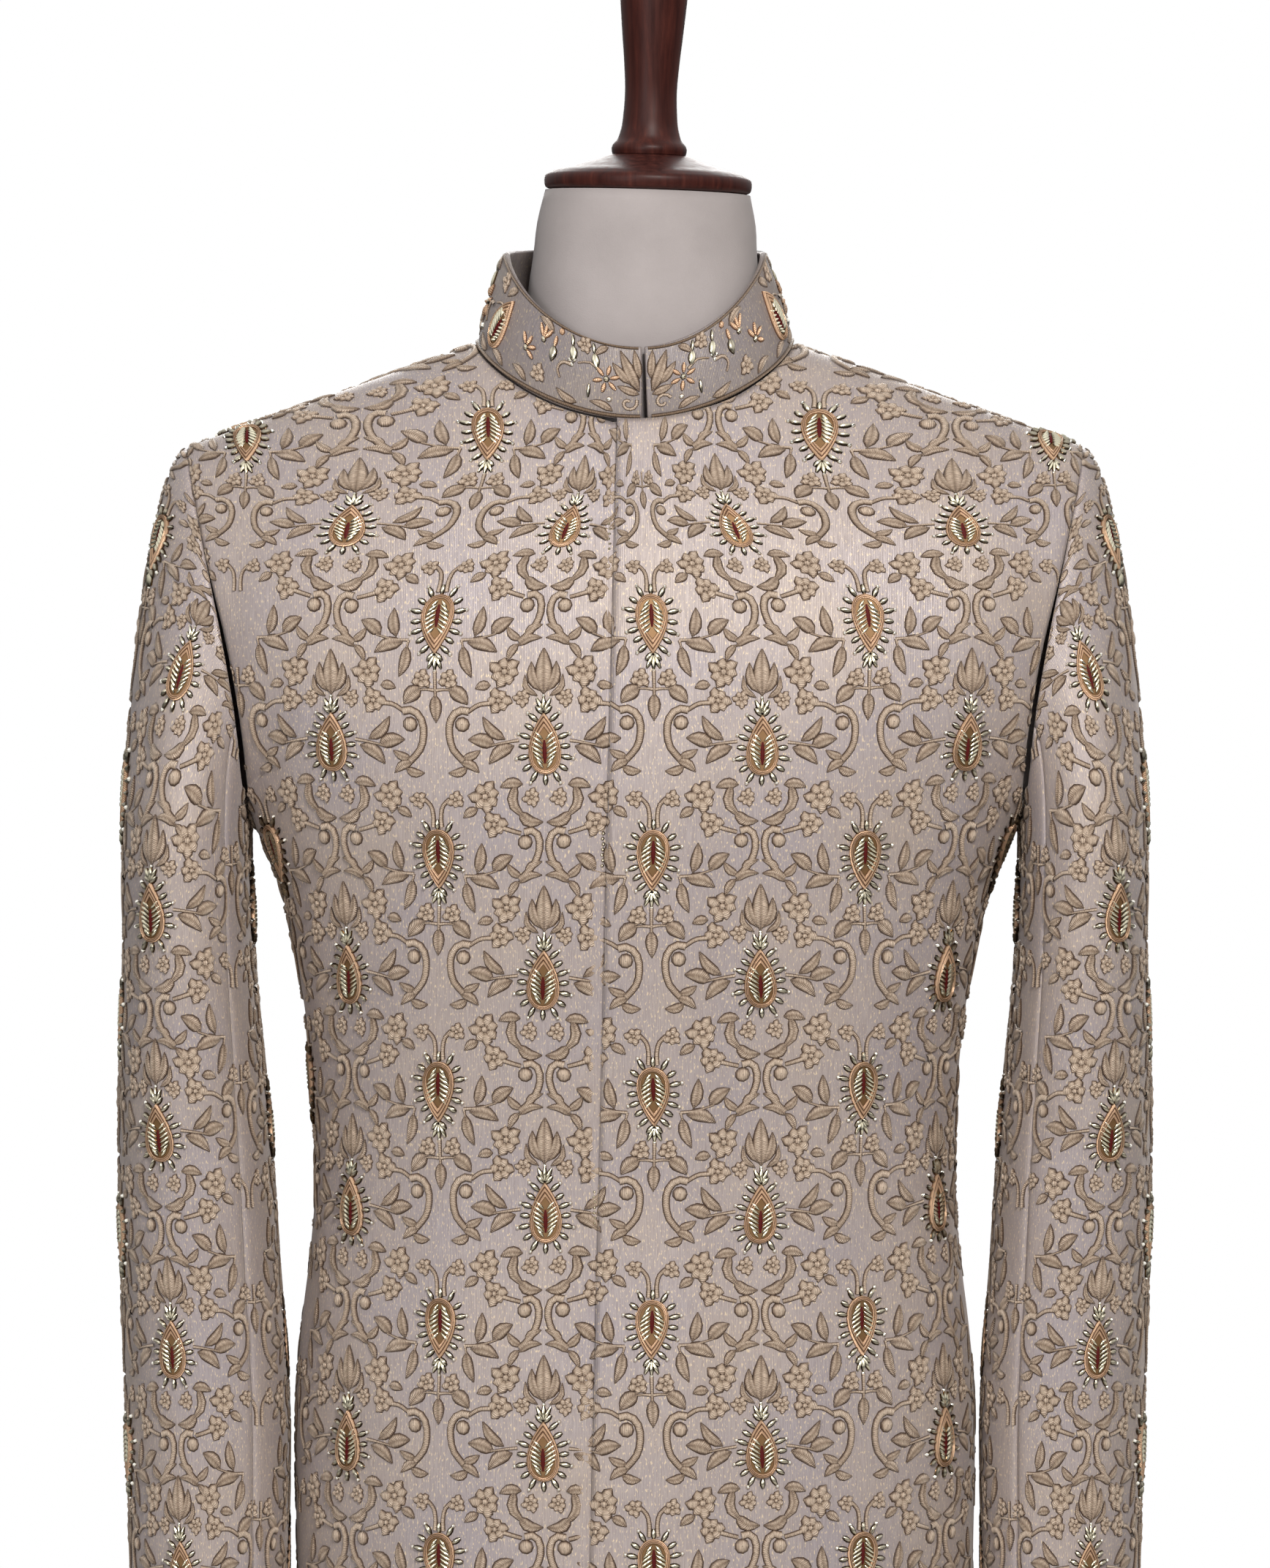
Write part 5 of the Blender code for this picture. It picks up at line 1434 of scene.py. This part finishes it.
def collar_point(turn, up):
    """A point of the band: turn goes round from the front, and up from the foot to the top edge.
    The foot follows the neckline on the body, and the top is an oval that dips in front."""
    sine, cosine = np.sin(turn), np.cos(turn)
    forward, behind = np.maximum(cosine, 0), np.maximum(-cosine, 0)
    x = NECK_WIDTH / 2 * sine
    z = np.minimum(NECK_SIDE_Z - 0.040 * forward**1.5 + 0.010 * behind**2.6, ridge_z(x))
    foot = np.where((cosine > 0)[:, None], FRONT.place(x, z), BACK.place(x, z))
    top = np.stack(
        [
            COLLAR_TOP_WIDTH * sine,
            np.where(cosine > 0, -0.0625 * cosine, -0.0540 * cosine),
            1.537 - 0.050 * forward**1.4 + 0.0035 * behind,
        ],
        axis=1,
    )
    foot = foot + unit(top - foot) * COLLAR_SEAT
    bulge = 0.0012 * np.sin(math.pi * up)[:, None] * unit(foot * (1, 1, 0))
    return foot * (1 - up[:, None]) + top * up[:, None] + bulge


up, turn = np.meshgrid(np.linspace(0, 1, 11), np.linspace(0, 1, 241), indexing="ij")
gap = COLLAR_GAP_FOOT * (1 - up) + COLLAR_GAP_TOP * up
start = np.arcsin((COLLAR_GAP_X + gap) * 2 / NECK_WIDTH)
end = 2 * math.pi + np.arcsin((COLLAR_GAP_X - gap) * 2 / NECK_WIDTH)
turn = start + (end - start) * turn
collar_points = collar_point(turn.ravel(), up.ravel())
collar_out = unit(collar_points * (1, 1, 0))
collar_length = float(lengths_along(collar_points.reshape(11, 241, 3))[5, -1])
collar_height = float(np.linalg.norm(collar_points[60] - collar_points[10 * 241 + 60]))
collar_flat = np.stack([turn * collar_length / (2 * math.pi), (1 - up) * collar_height], axis=-1)
collar_flat = collar_flat.reshape(-1, 2)
# The band wears the silk with painted shade.
collar = mesh_object(
    "collar_band", collar_points, outward(collar_points, grid_faces(11, 241), collar_out), [PAINTED_SHADE_COLLAR_SILK],
    uv=collar_flat,
)
shell = collar.modifiers.new("cloth", "SOLIDIFY")
shell.thickness = COLLAR_CLOTH
shell.offset = -1
rounded = collar.modifiers.new("turned edges", "BEVEL")
rounded.width = 0.0008
rounded.segments = 2
rounded.limit_method = "ANGLE"
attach(collar, "root")
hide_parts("collar")


class Band:
    """The collar as something to embroider. Across, s runs round it from the gap, toward the
    wearer's left. Down, t falls from 0 at its top edge to the nominal height at its foot."""

    NOMINAL = 0.036
    outline = np.array([(-0.30, -0.003), (0.30, -0.003), (0.30, 0.039), (-0.30, 0.039)])

    def points(self, s, t):
        """The band's surface at flat places."""
        turn = np.arcsin(COLLAR_GAP_X * 2 / NECK_WIDTH) + s / collar_length * 2 * math.pi
        return collar_point(turn, 1 - t / self.NOMINAL)

    def place(self, flat, height):
        """Points at a height over the band, and its outward directions."""
        s, t = flat.T
        t = np.clip(t, 0, self.NOMINAL)
        along = self.points(s + 0.002, t) - self.points(s - 0.002, t)
        normals = unit(np.cross(along, self.points(s, t - 0.001) - self.points(s, t + 0.001)))
        return self.points(s, t) + normals * height[:, None], normals


def spray(motif, centre, count, start, span, near=2.0, far=6.8):
    """Gold bugles that radiate from a centre, and a bead in their middle."""
    for angle in start + np.linspace(0, 1, count) * span:
        way = np.array([math.cos(angle), math.sin(angle)])
        bar(motif, np.array(centre) + way * near, np.array(centre) + way * far, 2.3, 0.3, 1.7, CORD)
    knot(motif, centre, 1.7, 1.5, 6, BUGLE)


def collar_thread():
    """Leaves, curls and flowers in thread, alike on both sides of the gap, in mm from it."""
    made = Motif()

    def half(side):
        for foot, tip, width in (((3.0, 13.5), (12.5, 33.0), 6.6), ((2.6, 20.0), (5.0, 34.0), 4.8),
                                 ((7.5, 17.0), (16.5, 26.5), 5.0), ((3.0, 12.0), (13.5, 15.5), 4.4)):
            leaf(made, (foot[0] * side, foot[1]), (tip[0] * side, tip[1]), width)
        curl(made, (8.0 * side, 7.6), 4.2, 0.4, 0.9 * side, 1.8, 1.1)
        for x in (0.0, 62.0, 124.0, 186.0):
            stem(made, [((x + 22) * side, 21), ((x + 28) * side, 24), ((x + 34) * side, 22)], 1.7, steps=5)
            tendril = ((37, 20), (42, 19.5), (44, 16), (42, 12))
            stem(made, [((x + away) * side, up) for away, up in tendril], 2.2)
            flower(made, ((x + 32) * side, 31.5), 4.4, 6)
            flower(made, ((x + 54) * side, 9.5), 4.6, 6, 0.4)
            leaves(made, side, (
                (x + 50, 30.0, x + 61, 33.0, 4.6, 0.1), (x + 15, 3.0, x + 26, 6.0, 4.2, 0.1),
                (x + 32, 3.5, x + 43, 7.0, 4.4, -0.1), (x + 60, 3.2, x + 70, 7.0, 4.2, 0.1),
                (x + 19, 33.5, x + 26, 28.0, 4.0, 0.1),
            ))

    both(half)
    # Two brown strips run round the band, one along its foot and one along its top edge. The one along the
    # foot also stands in for the shadow under the band's edge: painted shade.
    around = np.linspace(2.6, collar_length * 1000 - 2.6, 240)
    for low, wide, high in ((1.1, 2.0, 1.4), (34.9, 1.5, 1.0)):
        path = np.stack([around, 0 * around + low], axis=1)
        for part in (path[:120], path[119:] - (collar_length * 1000, 0)):
            ribbon(made, part, np.full(len(part), wide / 2), 4, np.full(len(part), high), EDGING)
    return made


def collar_metal():
    """Gold sprays, hanging drops and slanted medallions on the collar, in mm from the gap."""
    made = Motif()
    drop = medallion(1, 12.5, 6.6, False)

    def half(side):
        for x in (0.0, 92.0, 184.0):
            spray(made, ((x + 19) * side, 18), 6, 0.3, 2 * math.pi * 5 / 6)
            knot(made, ((x + 17) * side, 8.5), 1.5, 1.4, 6, SEQUIN)
            bar(made, ((x + 27) * side, 14), ((x + 27) * side, 7.5), 1.8, 0.3, 1.4, BUGLE)
            for away, up in ((36.0, 23.0), (38.6, 22.0), (37.0, 20.2)):
                knot(made, ((x + away) * side, up), 1.2, 1.2, 6, SEQUIN)
            for away in (27.5, 39.5):
                bar(made, ((x + away) * side, 33.5), ((x + away - 1.5) * side, 28.5), 2.2, 0.4, 1.5, BUGLE)
                foot, tip = ((x + away - 1.3) * side, 29.0), ((x + away - 3.6) * side, 21.5)
                leaf(made, foot, tip, 4.4, 2.2, finish=PURL)
            bar(made, ((x + 48) * side, 29.5), ((x + 48) * side, 24.5), 2.4, 0.4, 1.6, CORD)
            leaf(made, ((x + 48) * side, 25.0), ((x + 48) * side, 17.5), 4.6, 2.2, finish=BUGLE)
            knot(made, ((x + 46) * side, 32.6), 1.8, 1.5, 6, CORD)
            spray(made, ((x + 55) * side, 25), 3, math.pi / 2 - 0.6, 1.2, 1.2, 7.0)
            spray(made, ((x + 64) * side, 17), 4, -0.5, 2.6, 1.5, 6.5)
        for x in (86.0, 176.0):
            made.stamp(drop, (x * side, 18.0), 0.42 * side)

    both(half)
    return made


band = Band()
for name, motif, finishes in (
    ("collar_embroidery", collar_thread(), THREAD_FINISHES),
    ("collar_beadwork", collar_metal(), METALS),
):
    embroider(band, name, [(motif, np.array([(0, Band.NOMINAL)]))], finishes, False)


# The dress form: a padded torso without limbs under the coat, covered in ivory calico. Its neck
# leans a little to the wearer's left and shows above the collar.
FORM_TRIM = 0.011
FORM_SEAT = 0.0028
FORM_FRONT_ROLL = 2.0
FORM_BACK_ROLL = 3.0
FORM_BOTTOM_Z = 0.800
FORM_ARM_X = 0.188
NECK_TOP_Z = 1.5675
NECK_LEAN = 0.042
LEAN_FROM_Z = 1.410
CAP_TILT = math.radians(1.8)
NECK_ROWS = np.array(
    # height, half width, front depth, back depth
    [
        (1.380, 0.0640, 0.0490, 0.0420),
        (1.430, 0.0630, 0.0510, 0.0440),
        (1.460, 0.0620, 0.0530, 0.0450),
        (1.490, 0.0610, 0.0550, 0.0455),
        (1.516, 0.0600, 0.0550, 0.0450),
        (1.537, 0.0578, 0.0540, 0.0445),
        (1.550, 0.0568, 0.0535, 0.0445),
        (1.568, 0.0530, 0.0515, 0.0430),
    ]
)


def make_calico():
    """Ivory calico: faintly mottled, with a fine plain weave in its bump."""
    made, tree, principled = shader("ivory calico", (0.48, 0.43, 0.42), 0.92, 0.0, Sheen_Weight=0.15)
    place = node(tree, "TexCoord").outputs["Object"]
    mottle = node(tree, "TexNoise", {"Vector": place, "Scale": 26.0, "Detail": 5.0})
    shade = ramp(tree, mottle.outputs["Fac"], ((0.3, (0.385, 0.345, 0.340)), (0.7, (0.450, 0.405, 0.400))))
    tree.links.new(shade, principled.inputs["Base Color"])
    grain = node(tree, "TexNoise", {"Vector": place, "Scale": 1400.0, "Detail": 2.0})
    bump = node(tree, "Bump", {"Height": grain.outputs["Fac"], "Strength": 0.35, "Distance": 0.0003})
    tree.links.new(bump.outputs[0], principled.inputs["Normal"])
    return made


CALICO = make_calico()


def form_row(level, rise):
    """One ring of the torso: level below the armpit, then parallel to the shoulder's ridge."""
    drop = FORM_SEAT / math.cos(math.atan(RIDGE_SLOPE))
    reach = min(float(smooth(level, BODY_Z, BODY_WIDTH)) - FORM_TRIM, FORM_ARM_X)
    x = reach * np.sin(np.linspace(-math.pi / 2, math.pi / 2, 61)) * 0.9995
    z = level + rise * (ridge_z(x) - drop - level)
    front = -body_depth(x, z, BODY_FRONT, FORM_FRONT_ROLL, drop, FORM_TRIM)
    back = body_depth(x, z, BODY_BACK, FORM_BACK_ROLL, drop, FORM_TRIM)
    return np.concatenate([np.stack([x, front, z], 1), np.stack([x, back, z], 1)[::-1]])


def closed_loft(name, rings, material):
    """A solid over rings of equal count, closed at both ends by a point in the middle."""
    count = rings.shape[1]
    ends = rings[0].mean(axis=0), rings[-1].mean(axis=0)
    rings = np.concatenate([np.tile(ends[0], (1, count, 1)), rings, np.tile(ends[1], (1, count, 1))])
    corner = np.arange(rings.shape[0] * count).reshape(rings.shape[0], count)
    following = np.roll(corner, -1, axis=1)
    quads = np.stack([corner[:-1], following[:-1], following[1:], corner[1:]], axis=-1).reshape(-1, 4)
    mesh = bpy.data.meshes.new(name)
    mesh.from_pydata(rings.reshape(-1, 3).tolist(), [], quads.tolist())
    mesh.validate()
    mesh.materials.append(material)
    made = bpy.data.objects.new(name, mesh)
    bpy.context.scene.collection.objects.link(made)
    weld = made.modifiers.new("poles", "WELD")
    weld.merge_threshold = 0.00001
    return made


def neck_ring(z):
    """A leaning oval, its plane tipped toward the cap's as it nears the top."""
    rows = NECK_ROWS.T
    wide, front, back = (float(smooth(z, rows[0], row)) for row in rows[1:])
    angle = np.arange(96) / 96 * 2 * math.pi
    x = wide * np.cos(angle)
    y = np.where(np.sin(angle) < 0, front, back) * np.sin(angle)
    tilt = math.tan(CAP_TILT) * fade(z, 1.53, NECK_TOP_Z)
    return np.stack([x + NECK_LEAN * max(z - LEAN_FROM_Z, 0), y, z - tilt * x], axis=1)


levels = np.linspace(FORM_BOTTOM_Z + 0.012, ARMPIT_Z, 48)
rises = np.sin(np.linspace(0, math.pi / 2, 26)[1:]) * 0.9985
hip = form_row(FORM_BOTTOM_Z, 0)
torso_rings = np.stack(
    [hip * (0.955, 0.945, 1), (hip + (0, 0, 0.004)) * (0.985, 0.980, 1)]
    + [form_row(z, 0) for z in levels]
    + [form_row(ARMPIT_Z, rise) for rise in rises]
)
torso = closed_loft("dress_form_cover", torso_rings, CALICO)
neck_rings = np.stack([neck_ring(z) for z in np.linspace(LEAN_FROM_Z, NECK_TOP_Z, 30)])
neck = closed_loft("neck_helper", neck_rings, CALICO)
join = torso.modifiers.new("neck", "BOOLEAN")
join.operation = "UNION"
join.object = neck
bpy.context.view_layer.update()
joined = bpy.data.meshes.new_from_object(torso.evaluated_get(bpy.context.evaluated_depsgraph_get()))
torso.modifiers.clear()
torso.data = joined
joined.shade_smooth()
bpy.data.objects.remove(neck)
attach(torso, "root")
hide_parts("dress_form")


# The wood: a cap on the neck with a finial screwed into it, and below a pole on a round base.
# All are lathe-turned from a dark red-brown hardwood, stained and rubbed to a satin polish.
POLE_RADIUS = 0.0165
BASE_HEIGHT = 0.034
BASE_RADIUS = 0.190
SEAM_GAP = 0.0003


def make_wood():
    """Stained hardwood: fine rings and pores drawn out along the turning axis, under a satin coat."""
    made, tree, principled = shader("dark turned wood", (0.04, 0.009, 0.006), 0.44, Specular_IOR_Level=0.18)
    place = node(tree, "TexCoord").outputs["Object"]
    drawn = node(tree, "Mapping", {"Vector": place, "Scale": (260.0, 260.0, 14.0)})
    fibres = {"Vector": drawn.outputs[0], "Scale": 1.0, "Detail": 6.0, "Roughness": 0.6}
    grain = node(tree, "TexNoise", fibres)
    shade = ramp(
        tree, grain.outputs["Fac"],
        ((0.30, (0.024, 0.0055, 0.0045)), (0.55, (0.052, 0.0125, 0.0090)), (0.80, (0.105, 0.027, 0.018))),
    )
    tree.links.new(shade, principled.inputs["Base Color"])
    rough = node(tree, "MapRange", {0: grain.outputs["Fac"], 1: 0.3, 2: 0.8, 3: 0.36, 4: 0.50})
    tree.links.new(rough.outputs[0], principled.inputs["Roughness"])
    bump = node(tree, "Bump", {"Height": grain.outputs["Fac"], "Strength": 0.15, "Distance": 0.0003})
    tree.links.new(bump.outputs[0], principled.inputs["Normal"])
    return made


WOOD = make_wood()
CAP_PROFILE = np.array(
    # radius, height above the neck's top
    [
        (0.0500, 0.0000), (0.0530, 0.0012), (0.0538, 0.0040), (0.0534, 0.0072), (0.0505, 0.0092),
        (0.0400, 0.0125), (0.0240, 0.0175), (0.0200, 0.0190),
    ]
)
FINIAL_PROFILE = np.array(
    # radius, height above the cap
    [
        (0.0190, 0.0000), (0.0196, 0.0030), (0.0188, 0.0052), (0.0172, 0.0068), (0.0152, 0.0120),
        (0.0139, 0.0220), (0.0135, 0.0320), (0.0142, 0.0450), (0.0158, 0.0620), (0.0174, 0.0800),
        (0.0184, 0.0960), (0.0180, 0.1110), (0.0158, 0.1240), (0.0118, 0.1330), (0.0060, 0.1380),
    ]
)
BASE_PROFILE = np.array(
    [
        (BASE_RADIUS - 0.004, 0), (BASE_RADIUS, 0.004), (BASE_RADIUS, 0.016),
        (BASE_RADIUS - 0.006, 0.024), (BASE_RADIUS - 0.030, 0.028), (0.040, BASE_HEIGHT),
    ]
)


def turned(name, node_name, profile, rows, place=(0, 0, 0), tilt=0.0):
    """A lathe-turned piece: its profile read smoothly at even lengths, carried round its axis and
    closed by a point at both ends, then tilted and put in place."""
    along = lengths_along(profile)
    wanted = np.linspace(0, along[-1], rows)
    radius = smooth(wanted, along, profile[:, 0])
    height = smooth(wanted, along, profile[:, 1])
    angle = np.arange(96) / 96 * 2 * math.pi
    across, y = radius[:, None] * np.cos(angle), radius[:, None] * np.sin(angle)
    up = height[:, None] + 0 * angle
    x = across * math.cos(tilt) + up * math.sin(tilt)
    z = up * math.cos(tilt) - across * math.sin(tilt)
    made = closed_loft(name, np.stack([x, y, z], axis=-1) + np.array(place), WOOD)
    made.data.shade_smooth()
    made.data.set_sharp_from_angle(angle=math.radians(40))
    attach(made, "root")
    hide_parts(node_name)


cap_foot = np.array([NECK_LEAN * (NECK_TOP_Z - LEAN_FROM_Z), 0, NECK_TOP_Z])
axis = np.array([math.sin(CAP_TILT), 0, math.cos(CAP_TILT)])
cap_place = cap_foot + axis * SEAM_GAP
turned("turned_cap", "neck_cap", CAP_PROFILE, 40, cap_place, CAP_TILT)
finial_place = cap_place + axis * (CAP_PROFILE[-1, 1] + SEAM_GAP)
turned("turned_finial", "finial", FINIAL_PROFILE, 90, finial_place, CAP_TILT)
pole_top = FORM_BOTTOM_Z - BASE_HEIGHT - 2 * SEAM_GAP
pole_profile = np.array([(POLE_RADIUS, 0.0), (POLE_RADIUS, pole_top / 2), (POLE_RADIUS, pole_top)])
turned("turned_pole", "pole", pole_profile, 12, (0, 0, BASE_HEIGHT + SEAM_GAP))
turned("turned_base", "stand_base", BASE_PROFILE, 40)
